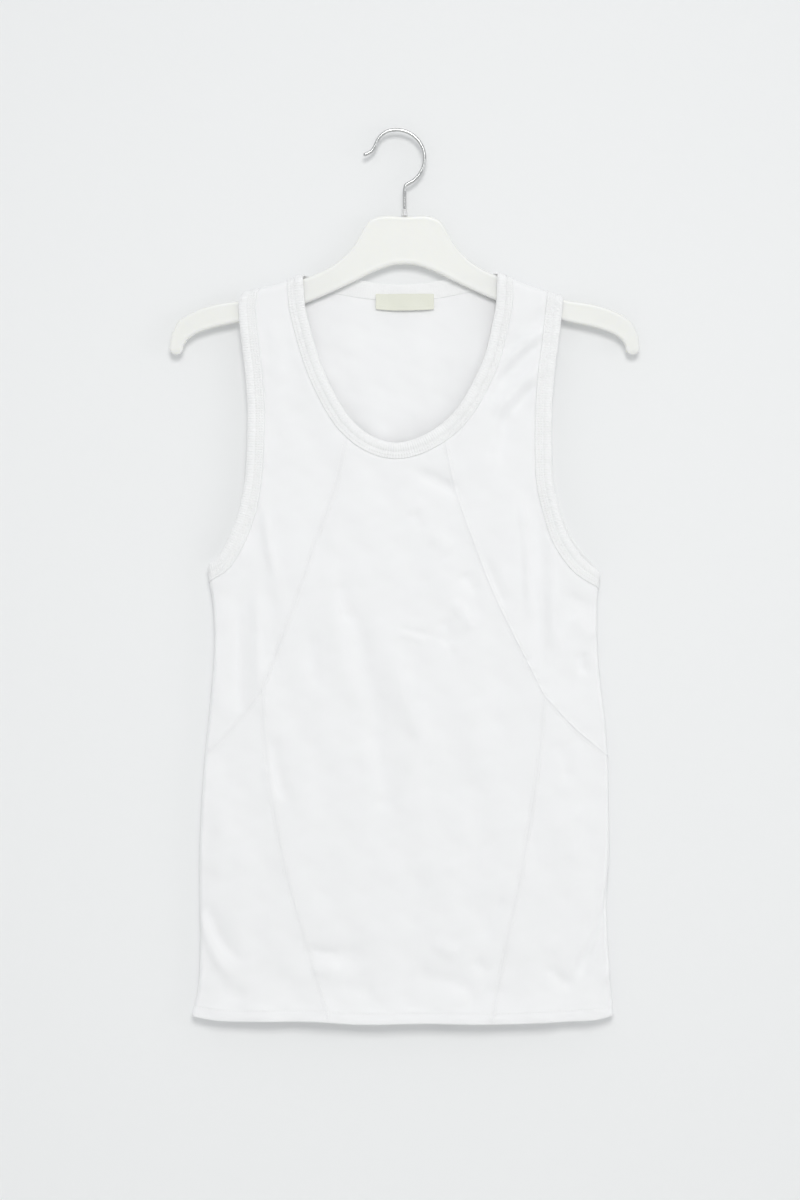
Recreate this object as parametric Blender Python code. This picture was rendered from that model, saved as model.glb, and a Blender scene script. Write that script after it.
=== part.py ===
"""A white tank top hanging flat on a moulded plastic hanger with a chrome wire hook.

Frame: +Z is up, +X is to the viewer's right, the front faces -Y, and y = 0 runs through the hanger's middle.
The origin is the inside of the hook's arc, straight above the stem, where a rail or a pin carries it.
Left and right are the viewer's. Sizes are in millimetres, and make_mesh turns them into metres.

The cloth is worked out on flat panels first. A flat point (x, z) is a place on the cloth as if its rounded
edges, the side seams and the shoulder ridge, were rolled out flat. cloth_point rolls it back into the hanging
shape.
"""

import math

import bmesh
import bpy
import numpy as np

MILLIMETRE = 0.001

# Cloth
CLOTH = 1.2  # wall of the jersey panels
BINDING = 2.2  # doubled rib, over the panel's edge and the free edge
BINDING_OUT = 0.6  # how far a binding's middle stands over the cloth's face
SEAM_GAP = 0.3  # between neighbouring pieces
HALF_GAP = SEAM_GAP / 2
HEM_HEIGHT = 12.0  # depth of the turned-up hem
HEM_EXTRA = 0.9  # the turned-up layer inside the hem
HEM_BULGE = 0.3  # how far the hem stands out from the cloth above it
NECK_BINDING_WIDTH = 14.5
BACK_NECK_BINDING_WIDTH = 15.5
ARMHOLE_BINDING_WIDTH = 15.0
NECK_TURN = 20.0  # length over which a binding turns, near each end, to end square on the shoulder or the side
BACK_NECK_TURN = 34.0
ARMHOLE_TURN = 24.0
SIDE_RADIUS = 3.6  # outer radius where the cloth turns round a side seam
RIDGE_RADIUS = 6.6  # outer radius where a strap goes over the hanger
LENS_POWER = 3.0  # how late the cloth falls away to the sides
FOLD_FADE = 8.0  # the same for the folds

# Hanger
HANGER_THICKNESS = 6.5
HANGER_EDGE = 3.0  # radius of its moulded edge
TIP_CENTRE = (203.4, -191.8)  # of the rounded end of an arm
TIP_RADIUS = 6.3
TIP_ARC = (20, -190)  # degrees
WIRE_DIAMETER = 3.3
HOOK_RADIUS = 25.15  # of the wire's centre line
HOOK_CENTRE = (-7.2, -22.4)
HOOK_ARC = (112.0, -66.0)  # degrees, from the tip's side over the top to the stem's side
STEM_X = 0.1
COLLAR_TOP = -67.9
COLLAR_RADII = (2.2, 2.8)  # top, bottom
HUMP_TOP = -74.5

# Label
LABEL_WIDTH = 52.0
LABEL_TOP = -143.3
LABEL_HEIGHT = 13.4
LABEL_THICKNESS = 0.8
LABEL_CENTRE = 0.3
LABEL_BOW = 1.3  # how much lower its lower edge hangs in the middle
LABEL_LIFT = 1.1  # how far its lower edge stands off the cloth


def table(columns, *rows):
    """A short table with named columns and one row for each section."""
    return dict(zip(columns.split(), np.array(rows, float).T))


# Outline of the body, one row for each height. Above the armholes the sides run on, out past the straps.
SIDES = table(
    "z left right",
    (-790, -190.0, 186.3),
    (-765, -184.6, 184.4),
    (-728, -182.4, 182.0),
    (-692, -182.6, 180.2),
    (-640, -182.8, 182.8),
    (-600, -181.2, 182.2),
    (-550, -177.6, 181.0),
    (-515, -174.0, 178.2),
    (-480, -170.8, 174.0),
    (-443, -169.6, 172.0),
    (-416, -171.4, 172.2),
    (-401, -173.8, 173.2),
    (-386, -175.0, 174.6),
    (-340, -184.0, 182.0),
    (-240, -212.0, 210.0),
    (-120, -235.0, 235.0),
)

# Height of the cloth over the hanger: the two shoulder ridges, and between them the hanger's own top.
RIDGE = table(
    "x z",
    (-200, -160.0),
    (-144, -142.8),
    (-90.5, -126.3),
    (-76, -120.5),
    (-57, -111.0),
    (-36, -84.0),
    (0, -72.0),
    (36, -84.0),
    (55, -109.0),
    (70, -119.5),
    (81.6, -124.1),
    (141.4, -146.4),
    (200, -169.0),
)

# Lower edge of the body, from the left side to the right.
HEM = table(
    "x z",
    (-193, -787.0),
    (-170, -791.0),
    (-130, -792.0),
    (-80, -792.0),
    (-44, -794.3),
    (20, -793.6),
    (65, -794.4),
    (110, -793.6),
    (150, -791.8),
    (172, -790.4),
    (190, -785.6),
)

# Distance of the cloth's outer face from the middle plane, half way across.
DEPTH = table(
    "z front back",
    (-800, 8.6, 6.0),
    (-792, 7.9, 5.9),
    (-778, 6.5, 5.8),
    (-762, 6.0, 5.8),
    (-700, 6.8, 6.0),
    (-560, 7.7, 6.4),
    (-420, 7.3, 6.2),
    (-340, 6.1, 5.5),
    (-290, 5.4, 5.1),
    (-240, 5.5, 5.3),
    (-195, 6.2, 6.0),
    (-165, 6.6, 6.4),
    (-120, 6.6, 6.5),
)

# Free edge of the armhole bindings. The right back armhole is cut a little further out than the front one.
ARMHOLES = table(
    "z left right back_left back_right",
    (-150, -147.4, 141.2, -147.0, 141.0),
    (-167, -147.2, 139.6, -146.2, 139.0),
    (-185, -145.4, 137.6, -144.0, 137.0),
    (-212, -142.3, 134.2, -140.8, 133.8),
    (-247, -140.0, 131.5, -138.4, 131.6),
    (-280, -140.4, 131.2, -138.6, 132.0),
    (-310, -142.5, 132.2, -140.6, 133.8),
    (-338, -148.0, 138.3, -146.0, 140.2),
    (-354, -153.6, 143.2, -151.6, 146.0),
    (-368, -160.2, 150.7, -158.4, 154.6),
    (-380, -168.4, 160.2, -167.2, 164.4),
)
ARMHOLE_ENDS = {"left": -386.0, "right": -392.4}  # height at the side seam

# Sewn edge of the neck binding, in front.
NECK = table(
    "z left right",
    (-158, -102.6, 95.4),
    (-176, -98.6, 91.9),
    (-194, -93.7, 87.9),
    (-211.5, -87.9, 82.1),
    (-229, -80.3, 74.0),
    (-247, -71.1, 63.8),
    (-265, -58.5, 49.0),
    (-280, -41.5, 28.5),
    (-288, -25.0, 10.5),
)
NECK_LOWEST = (-7.0, -291.0)
NECK_AT_RIDGE = {"left": -104.8, "right": 96.8}

# Sewn edge of the neck binding behind, between the ridges.
BACK_NECK = table(
    "x z",
    (-94, -136.5),
    (-63.8, -142.6),
    (-26.3, -148.4),
    (0.4, -149.8),
    (26.3, -147.6),
    (58.4, -141.4),
    (86, -135.5),
)

# Front seams. Each starts at the neck, the diagonal ends at the side and the lower one at the hem.
DIAGONAL_LEFT = table(
    "x z",
    (-51.3, -271.7),
    (-62, -318),
    (-78, -361),
    (-93.5, -408),
    (-110, -453),
    (-127, -497),
)
DIAGONAL_LEFT_TAIL = table(
    "x z",
    (-127, -497),
    (-150.3, -527.3),
    (-178, -558.5),
)
LOWER_LEFT = table(
    "x z",
    (-67.5, -791.9),
    (-88, -722),
    (-106, -657),
    (-118, -592),
    (-125.5, -528),
    (-127, -497),
)
DIAGONAL_RIGHT = table(
    "x z",
    (36.1, -276),
    (45.5, -320),
    (61.5, -366),
    (80, -413),
    (103, -460),
    (124.3, -502),
)
DIAGONAL_RIGHT_TAIL = table(
    "x z",
    (124.3, -502),
    (151.2, -530.5),
    (181, -557.6),
)
LOWER_RIGHT = table(
    "x z",
    (77.2, -794.3),
    (91, -722),
    (103, -664),
    (112, -612),
    (120.5, -550),
    (124.3, -502),
)

# The largest folds: a soft trough or ridge along each line, and how far it stands in (-) or out (+).
FRONT_FOLDS = table(
    "x0 z0 x1 z1 depth width",
    (123, -160, 84, -200, -2.1, 7),
    (117, -196, 72, -240, -2.3, 8),
    (112, -232, 84, -280, -1.7, 8),
    (8, -302, 50, -322, -2.1, 7),
    (-46, -420, -28, -505, -2, 9),
    (-30, -490, -14, -610, -2.5, 11),
    (-68, -388, -48, -506, 2.2, 11),
    (-12, -466, 18, -546, 2.1, 10),
    (120, -318, 123, -497, -2.1, 6.5),
    (-128, -322, -111, -418, 1.8, 7),
    (-143, -404, -141, -500, -1.6, 8),
    (140, -423, 172, -428, -1.6, 8),
    (158, -462, 168, -520, -1.8, 8),
    (-88, -730, -38, -736, -2.2, 9),
    (16, -752, 58, -760, -2.1, 8),
    (70, -716, 88, -684, -1.8, 8),
    (178, -668, 154, -758, -2.6, 7),
    (-172, -690, -148, -738, -2, 8),
)
BACK_FOLDS = table(
    "x0 z0 x1 z1 depth width",
    (-108, -176, -60, -230, -1.5, 9),
    (104, -172, 66, -222, -1.6, 9),
    (-24, -230, -36, -420, -1.5, 14),
    (40, -330, 28, -520, 1.4, 14),
    (-120, -330, -112, -480, -1.7, 11),
    (118, -340, 112, -500, -1.6, 11),
    (-90, -560, -30, -640, 1.4, 14),
    (96, -600, 40, -690, -1.5, 13),
    (-60, -742, 20, -752, -1.5, 9),
)

# Upper and lower edge of the right half of the hanger, from the middle outwards.
HANGER_TOP = table(
    "x z",
    (0, HUMP_TOP),
    (24, -74.8),
    (31, -77.8),
    (36.5, -85.5),
    (42, -96),
    (50, -106.6),
    (59, -114.8),
    (69, -121.4),
    (80, -126.4),
    (100, -133.6),
    (142, -148.6),
    (171, -153.6),
    (188, -159.6),
    (202, -168.6),
    (208.4, -180.5),
)
HANGER_BOTTOM = table(
    "x z",
    (193.6, -184.6),
    (186, -179.4),
    (174, -175.0),
    (145, -168.4),
    (118, -161.2),
    (86, -151.2),
    (65.5, -142.4),
    (45.5, -133.0),
    (22.7, -122.2),
    (10, -118.1),
    (0, -117.2),
)

# Free end of the hook: the wire curls back out to its tip.
HOOK_TIP = table(
    "x z",
    (-36.8, -19.9),
    (-33.0, -18.4),
    (-29.4, -16.2),
    (-26.8, -12.6),
    (-25.0, -8.4),
    (-22.4, -3.9),
)
HOOK_STEM = table(
    "x z",
    (1.4, -46.4),
    (0.2, -50.0),
    (STEM_X, -56.0),
    (STEM_X, -61.0),
)

# Section of a binding: share of the way from the sewn to the free edge, and height over the cloth's face.
BINDING_SECTION = table(
    "share out",
    (0.00, -1.45),
    (0.00, 0.25),
    (0.07, 0.55),
    (0.50, BINDING_OUT),
    (0.90, 0.50),
    (1.00, -0.05),
    (1.00, -0.95),
    (0.90, -1.50),
    (0.50, BINDING_OUT - BINDING),
    (0.07, BINDING_OUT - BINDING),
)

# How finely each stretch is divided
SIDE_ROWS = 6
NECK_ROWS = 12
DIAGONAL_ROWS = 10
ARMHOLE_ROWS = NECK_ROWS + DIAGONAL_ROWS
LOWER_ROWS = 9
PANEL_COLUMNS = 10
NECK_COLUMNS = 14
BACK_NECK_STATIONS = 18
BACK_SIDE_ROWS = 12
RIDGE_STEPS = 4  # rows on the quarter circle over the hanger
SIDE_STEPS = 3  # columns on the quarter circle at a side seam
SHOULDER_COLUMNS = 3  # of the back, between neck and armhole
HEM_STEPS = (5.0, HEM_HEIGHT - 5.6, 1.4)  # heights of the rows up the turned hem and just past its step
NET_TURN_ROW = 4  # row of a diagonal seam's table where the upper panel's net turns
LEAST_COLUMN = 1.5  # what splitting a column leaves of it
CORNER_SINE = 0.35  # a net's border turning by more than this is a corner
CURVE_POINTS = 60
PROBE = 0.05  # a normal comes from places this far to either side
LABEL_COLUMNS = 8
LABEL_ROWS = 3
HANGER_TOP_STEPS = 24
HANGER_BOTTOM_STEPS = 16
TIP_POINTS = 9
COLLAR_SIDES = 12
HOOK_ARC_POINTS = 13
HOOK_RINGS = 46
WIRE_SIDES = 8


# ----------------------------------------------------------------------------------------------------
# Curves on the flat cloth


def smooth_curve(points, steps=24):
    """A curve through the points, with the slope at each from its neighbours, in many short steps."""
    points = np.asarray(points, float)
    knots = np.concatenate([[0], np.cumsum(np.linalg.norm(np.diff(points, axis=0), axis=1))])
    slopes = np.gradient(points, knots, axis=0)
    along = np.concatenate([np.linspace(a, b, steps, endpoint=False) for a, b in zip(knots, knots[1:])])
    along = np.append(along, knots[-1])
    span = np.clip(np.searchsorted(knots, along, side="right") - 1, 0, len(knots) - 2)
    length = (knots[span + 1] - knots[span])[:, None]
    t = (along - knots[span])[:, None] / length
    start, end = points[span], points[span + 1]
    return (
        (2 * t**3 - 3 * t**2 + 1) * start
        + (t**3 - 2 * t**2 + t) * length * slopes[span]
        + (3 * t**2 - 2 * t**3) * end
        + (t**3 - t**2) * length * slopes[span + 1]
    )


def smooth_value(columns, key, value, at):
    """A value of the table at a place between its rows, on a smooth curve through them."""
    order = np.argsort(columns[key])
    knots = columns[key][order]
    values = columns[value][order]
    slopes = np.gradient(values, knots)
    at = np.clip(at, knots[0], knots[-1])
    span = np.clip(np.searchsorted(knots, at, side="right") - 1, 0, len(knots) - 2)
    length = knots[span + 1] - knots[span]
    t = (at - knots[span]) / length
    return (
        (2 * t**3 - 3 * t**2 + 1) * values[span]
        + (t**3 - 2 * t**2 + t) * length * slopes[span]
        + (3 * t**2 - 2 * t**3) * values[span + 1]
        + (t**3 - t**2) * length * slopes[span + 1]
    )


def lengths_of(curve):
    return np.concatenate([[0], np.cumsum(np.linalg.norm(np.diff(curve, axis=0), axis=1))])


def shares_of(curve):
    """Share of the curve's length up to each of its points."""
    return lengths_of(curve) / lengths_of(curve)[-1]


def at_lengths(curve, lengths):
    """Points of the curve at these lengths along it."""
    along = lengths_of(curve)
    return np.stack([np.interp(lengths, along, curve[:, axis]) for axis in range(curve.shape[1])], 1)


def stations(curve, count, first=(), last=()):
    """count + 1 points along the curve. The first and last steps may be given as lengths, the others even."""
    total = lengths_of(curve)[-1]
    start, end = sum(first), sum(last)
    even = np.linspace(start, total - end, count + 1 - len(first) - len(last))
    head = np.cumsum((0, *first))[:-1] if first else []
    tail = total - np.cumsum((0, *last))[:-1][::-1] if last else []
    return at_lengths(curve, np.concatenate([head, even, tail]))


def rows_of(columns, x="x", z="z"):
    return np.stack([columns[x], columns[z]], 1)


def normals_of(curve):
    """Unit normals to the left of the way the curve runs."""
    tangent = np.gradient(curve, axis=0)
    tangent /= np.linalg.norm(tangent, axis=1)[:, None]
    return np.stack([-tangent[:, 1], tangent[:, 0]], 1)


# ----------------------------------------------------------------------------------------------------
# The hanging shape of the cloth

QUARTER = math.pi / 2
RIDGE_ROLL = QUARTER * RIDGE_RADIUS  # cloth on the quarter circle over the hanger
SIDE_ROLL = QUARTER * SIDE_RADIUS
RIDGE_STEP = RIDGE_ROLL / RIDGE_STEPS
SIDE_STEP = SIDE_ROLL / SIDE_STEPS


def side(which, z):
    return smooth_value(SIDES, "z", which, np.asarray(z, float))


def ridge(x):
    return smooth_value(RIDGE, "x", "z", np.asarray(x, float))


def hem(x):
    return smooth_value(HEM, "x", "z", np.asarray(x, float))


def flat_side(which, z):
    """Flat x of a side seam: the outline, plus what the quarter circle measures more than its radius."""
    out = SIDE_ROLL - SIDE_RADIUS
    return side("left", z) - out if which == "left" else side("right", z) + out


def flat_ridge(x):
    """Flat z of the ridge over the hanger."""
    return ridge(x) + RIDGE_ROLL - RIDGE_RADIUS


def fold_depth(folds, x, z):
    """Sum of the folds: each is a bell curve across its line, and fades out towards both ends."""
    total = np.zeros_like(x)
    for x0, z0, x1, z1, depth, width in zip(*folds.values()):
        line = np.array([x1 - x0, z1 - z0])
        length = np.linalg.norm(line)
        line /= length
        along = (x - x0) * line[0] + (z - z0) * line[1]
        across = (x - x0) * line[1] - (z - z0) * line[0]
        past_end = np.maximum(0, np.abs(along - length / 2) - length / 4) / (length / 4 + width)
        total += depth * np.exp(-((across / width) ** 2)) * np.clip(1 - past_end**2, 0, 1) ** 2
    return total


def cloth_point(flat, front):
    """Outer face of the cloth. Past the start of a rounded edge, a flat length w becomes the angle w / radius
    of a circle. Between the sides the depth is that of a flat lens, 1 - |x|^power, on the side's radius."""
    x, z = flat[..., 0].copy(), flat[..., 1].copy()
    left, right = side("left", z), side("right", z)
    past_left = left + SIDE_RADIUS - x
    past_right = x - (right - SIDE_RADIUS)
    turn = np.clip(np.maximum(past_left, past_right) / SIDE_RADIUS, 0, QUARTER)
    x = np.where(past_left > 0, left + SIDE_RADIUS - SIDE_RADIUS * np.sin(turn), x)
    x = np.where(past_right > 0, right - SIDE_RADIUS + SIDE_RADIUS * np.sin(turn), x)
    start = ridge(x) - RIDGE_RADIUS
    roll = np.clip((z - start) / RIDGE_RADIUS, 0, QUARTER)
    z = np.where(z > start, start + RIDGE_RADIUS * np.sin(roll), z)
    across = np.clip(np.abs(2 * x - left - right) / (right - left), 0, 1)
    depth = smooth_value(DEPTH, "z", "front" if front else "back", z)
    folds = fold_depth(FRONT_FOLDS if front else BACK_FOLDS, x, z) * (1 - across**FOLD_FADE)
    lens = (depth - SIDE_RADIUS) * (1 - across**LENS_POWER)
    above_hem = z - hem(x)
    bulge = HEM_BULGE * (above_hem < HEM_HEIGHT) * np.cos(turn)
    y = (SIDE_RADIUS * np.cos(turn) + lens + folds + bulge) * np.cos(roll)
    return np.stack([x, -y if front else y, z], -1)


def cloth_normal(flat, front):
    """Unit normal of the cloth's outer face, pointing out."""
    across = cloth_point(flat + (PROBE, 0), front) - cloth_point(flat - (PROBE, 0), front)
    up = cloth_point(flat + (0, PROBE), front) - cloth_point(flat - (0, PROBE), front)
    normal = np.cross(across, up)
    length = np.linalg.norm(normal, axis=-1)[..., None]
    return normal / length if front else -normal / length


def edge_normal(flat, front):
    """cloth_normal taken just inside the rolled edges, where both probes stay on the cloth."""
    margin = 1.2 * PROBE
    left = flat_side("left", flat[..., 1]) + margin
    right = flat_side("right", flat[..., 1]) - margin
    inside = flat.copy()
    inside[..., 0] = np.clip(flat[..., 0], left, right)
    inside[..., 1] = np.minimum(flat[..., 1], flat_ridge(inside[..., 0]) - margin)
    return cloth_normal(inside, front)


# ----------------------------------------------------------------------------------------------------
# Meshes and materials


def material(name, colour, roughness, metallic=0.0):
    made = bpy.data.materials.new(name)
    made.use_nodes = True
    shader = made.node_tree.nodes["Principled BSDF"]
    shader.inputs["Base Color"].default_value = (*colour, 1)
    shader.inputs["Roughness"].default_value = roughness
    shader.inputs["Metallic"].default_value = metallic
    return made


def make_mesh(name, points, faces, finish, smooth_angle=40):
    """An object from points in millimetres, one closed body with its faces pointing out."""
    mesh = bpy.data.meshes.new(name)
    mesh.from_pydata((np.asarray(points) * MILLIMETRE).tolist(), [], [list(map(int, face)) for face in faces])
    mesh.materials.append(finish)
    body = bmesh.new()
    body.from_mesh(mesh)
    bmesh.ops.recalc_face_normals(body, faces=body.faces)
    if body.calc_volume(signed=True) < 0:
        bmesh.ops.reverse_faces(body, faces=body.faces)
    body.to_mesh(mesh)
    body.free()
    mesh.shade_smooth()
    mesh.set_sharp_from_angle(angle=math.radians(smooth_angle))
    made = bpy.data.objects.new(name, mesh)
    bpy.context.scene.collection.objects.link(made)
    return made


def grid_faces(rows, columns):
    """Four-sided faces of a grid of points, row by row."""
    index = np.arange(rows * columns).reshape(rows, columns)
    return np.stack([index[:-1, :-1], index[:-1, 1:], index[1:, 1:], index[1:, :-1]], -1).reshape(-1, 4)


def wall_faces(rows, columns):
    """Faces of a wall: the outer grid, the inner grid turned round, and the rim between them."""
    count = rows * columns
    outer = grid_faces(rows, columns)
    index = np.arange(count).reshape(rows, columns)
    border = np.concatenate([index[0], index[1:, -1], index[-1, -2::-1], index[-2:0:-1, 0]])
    after = np.roll(border, -1)
    rim = np.stack([border, border + count, after + count, after], 1)
    return np.concatenate([outer, outer[:, ::-1] + count, rim])


def make_wall(name, flat, front, finish):
    """A cloth panel: its outer face on the hanging shape, and its inner face one wall's thickness inside."""
    outer = cloth_point(flat, front)
    above_hem = outer[..., 2] - hem(outer[..., 0])
    thickness = CLOTH + (HEM_EXTRA + HEM_BULGE) * (above_hem < HEM_HEIGHT)
    inner = outer - edge_normal(flat, front) * thickness[..., None]
    points = np.concatenate([outer.reshape(-1, 3), inner.reshape(-1, 3)])
    return make_mesh(name, points, wall_faces(*flat.shape[:2]), finish)


def make_ring(name, rings, finish, closed=True):
    """A body from a row of closed sections. An open one gets a flat face at each end."""
    count, sides = rings.shape[:2]
    index = np.arange(count * sides).reshape(count, sides)
    if closed:
        index = np.concatenate([index, index[:1]])
    index = np.concatenate([index, index[:, :1]], 1)
    quads = np.stack([index[:-1, :-1], index[:-1, 1:], index[1:, 1:], index[1:, :-1]], -1).reshape(-1, 4)
    faces = [list(face) for face in quads]
    if not closed:
        faces += [list(index[0, :-1][::-1]), list(index[-1, :-1])]
    return make_mesh(name, rings.reshape(-1, 3), faces, finish)


# ----------------------------------------------------------------------------------------------------
# Panels: a net between four edges


def fill_panel(left, right, bottom, top):
    """A net of flat points between four edges, left and right running up, bottom and top running right: the sum
    of the two ruled nets less the one between the corners."""
    v = (shares_of(left) + shares_of(right))[:, None, None] / 2
    u = (shares_of(bottom) + shares_of(top))[None, :, None] / 2
    sides = (1 - u) * left[:, None] + u * right[:, None]
    ends = (1 - v) * bottom[None] + v * top[None]
    twist = (1 - v) * ((1 - u) * left[0] + u * right[0]) + v * ((1 - u) * left[-1] + u * right[-1])
    return sides + ends - twist


def draw_in(net, hem_row=False):
    """The net with its border moved inwards by half the seams' gap, square to every edge, but a hem's row."""
    rows, columns = net.shape[:2]
    index = np.arange(rows * columns).reshape(rows, columns)
    border = np.concatenate([index[0], index[1:, -1], index[-1, -2::-1], index[-2:0:-1, 0]])
    flat = net.reshape(-1, 2).copy()
    ring = flat[border]
    way = np.roll(ring, -1, axis=0) - ring
    way /= np.linalg.norm(way, axis=1)[:, None]
    ahead = np.stack([-way[:, 1], way[:, 0]], 1)
    gap_ahead = np.full(len(border), HALF_GAP)
    if hem_row:
        gap_ahead[: columns - 1] = 0.0
    behind, gap_behind = np.roll(ahead, 1, axis=0), np.roll(gap_ahead, 1)
    turn = ahead[:, 0] * behind[:, 1] - ahead[:, 1] * behind[:, 0]
    corner = np.abs(turn) > CORNER_SINE
    turn = np.where(corner, turn, 1.0)
    mitre = np.stack(
        [
            (gap_ahead * behind[:, 1] - gap_behind * ahead[:, 1]) / turn,
            (ahead[:, 0] * gap_behind - behind[:, 0] * gap_ahead) / turn,
        ],
        1,
    )
    plain = (ahead * gap_ahead[:, None] + behind * gap_behind[:, None]) / 2
    flat[border] = ring + np.where(corner[:, None], mitre, plain)
    return flat.reshape(net.shape)


def spread_columns(net, left_rolled, right_rolled):
    """The same net with even columns, but at a rolled side the first ones lie a step of its circle apart."""
    first = (SIDE_STEP,) * SIDE_STEPS if left_rolled else ()
    last = (SIDE_STEP,) * SIDE_STEPS if right_rolled else ()
    return np.stack([stations(row, PANEL_COLUMNS, first, last) for row in net])


def add_side_columns(net):
    """The net with its outermost column at each side split at the steps of the side's quarter circle."""
    made = []
    steps = SIDE_STEP * np.arange(1, SIDE_STEPS + 1)
    room = steps[-1] + LEAST_COLUMN
    for row in net:
        along = lengths_of(row)
        left = steps * min(1, along[1] / room)
        right = along[-1] - steps[::-1] * min(1, (along[-1] - along[-2]) / room)
        made.append(at_lengths(row, np.concatenate([along[:1], left, along[1:-1], right, along[-1:]])))
    return np.stack(made)


def side_curve(which, low, high):
    """Side seam between two heights, from the lower to the higher."""
    z = np.linspace(low, high, CURVE_POINTS)
    return np.stack([flat_side(which, z), z], 1)


def armhole_edge(which, front):
    """Free edge of an armhole binding, from the ridge over the hanger down to the side seam."""
    column = which if front else "back_" + which
    lowest = ARMHOLE_ENDS[which]
    at_ridge = RIDGE["x"][1] if which == "left" else RIDGE["x"][-2]
    points = [(at_ridge, flat_ridge(at_ridge))]
    points += list(rows_of(ARMHOLES, column))
    points += [(flat_side(which, lowest), lowest)]
    return smooth_curve(points)


def neck_edge_front():
    """Sewn edge of the neck binding in front, from the left ridge round to the right one."""
    left, right = NECK_AT_RIDGE["left"], NECK_AT_RIDGE["right"]
    points = [(left, flat_ridge(left))]
    points += list(rows_of(NECK, "left"))
    points += [NECK_LOWEST]
    points += list(rows_of(NECK, "right")[::-1])
    points += [(right, flat_ridge(right))]
    return smooth_curve(points)


def neck_edge_back():
    """Sewn edge of the neck binding behind, from the right ridge to the left one."""
    left, right = NECK_AT_RIDGE["left"], NECK_AT_RIDGE["right"]
    points = [(left, flat_ridge(left))] + list(rows_of(BACK_NECK)) + [(right, flat_ridge(right))]
    return smooth_curve(points)[::-1]


def across_binding(edge, width, end_lines, reach):
    """The other edge of a binding: width away along the normal. At each end the way turns, over the length
    reach, into that of the line that the binding ends on, so both edges end on that line."""
    normal = normals_of(edge) * np.sign(width)
    along = lengths_of(edge)
    for distance, line in zip((along, along[-1] - along), end_lines):
        share = np.clip(distance / reach, 0, 1)
        share = (share**2 * (3 - 2 * share))[:, None]
        normal = share * normal + (1 - share) * np.asarray(line)
        normal /= np.linalg.norm(normal, axis=1)[:, None]
    return edge + normal * abs(width)


def split_at(curve, point):
    """Two parts of a curve, cut at its place nearest to the point."""
    nearest = int(np.argmin(np.linalg.norm(curve - np.asarray(point), axis=1)))
    return curve[: nearest + 1], curve[nearest:]


def ridge_line(x, towards):
    """Unit way along the flat ridge at x, towards the right (+1) or the left (-1)."""
    slope = float(flat_ridge(x + 1) - flat_ridge(x - 1)) / 2
    return np.array([1.0, slope]) * towards / math.hypot(1, slope)


def side_line(which, z):
    """Unit way down the flat side seam, from a place just below the armhole's end."""
    step = ARMHOLE_BINDING_WIDTH
    way = np.array([float(flat_side(which, z - step) - flat_side(which, z)), -step])
    return way / np.linalg.norm(way)


class Pattern:
    """Every edge of the cut pieces, as stations that neighbouring pieces share."""

    def __init__(self):
        ridge_steps = (RIDGE_STEP,) * RIDGE_STEPS
        even_rows = ARMHOLE_ROWS - RIDGE_STEPS - SIDE_STEPS
        self.neck = {}
        whole = neck_edge_front()
        left, rest = split_at(whole, rows_of(DIAGONAL_LEFT)[0])
        middle, right = split_at(rest, rows_of(DIAGONAL_RIGHT)[0])
        self.neck["left"] = stations(left, NECK_ROWS, first=ridge_steps)
        self.neck["middle"] = stations(middle, NECK_COLUMNS)
        self.neck["right"] = stations(right, NECK_ROWS, last=ridge_steps)
        back = neck_edge_back()
        self.neck["back"] = stations(back, BACK_NECK_STATIONS, first=ridge_steps, last=ridge_steps)
        self.free = {}
        self.sewn = {}
        for which in ("left", "right"):
            for front in (True, False):
                edge = armhole_edge(which, front)
                inward = 1 if which == "left" else -1
                # The sewn edge lies inwards of the free edge, and below it at the side seam.
                lines = (ridge_line(edge[0, 0], inward), side_line(which, edge[-1, 1]))
                sewn = across_binding(edge, ARMHOLE_BINDING_WIDTH * inward, lines, ARMHOLE_TURN)
                sewn[0, 1] = flat_ridge(sewn[0, 0])
                sewn[-1, 0] = flat_side(which, sewn[-1, 1])
                total = lengths_of(edge)[-1]
                steps = np.concatenate(
                    [
                        np.arange(RIDGE_STEPS) * RIDGE_STEP,
                        np.linspace(RIDGE_ROLL, total - SIDE_ROLL, even_rows + 1),
                        total - SIDE_STEP * np.arange(SIDE_STEPS - 1, -1, -1),
                    ]
                )
                along = lengths_of(edge)
                self.free[which, front] = at_lengths(edge, steps)
                self.sewn[which, front] = np.stack([np.interp(steps, along, line) for line in sewn.T], 1)


def curve_from(start, columns):
    """Smooth curve of a front seam, from a given start through the table's other rows."""
    points = rows_of(columns)
    points[0] = start
    return smooth_curve(points)


def hem_between(start, end, count):
    """count + 1 points of the hem between two points on it."""
    x = np.linspace(start[0], end[0], count + 1)
    line = np.stack([x, hem(x)], 1)
    line[0], line[-1] = start, end
    return line


def ridge_between(start, end, count):
    x = np.linspace(start[0], end[0], count + 1)
    return np.stack([x, flat_ridge(x)], 1)


def mirrored_fill(which, outer, inner, bottom, top):
    """fill_panel for a side panel given from its outer edge inwards, on either side of the body."""
    if which == "left":
        return fill_panel(outer, inner, bottom, top)
    return fill_panel(inner, outer, bottom[::-1], top[::-1])


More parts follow.
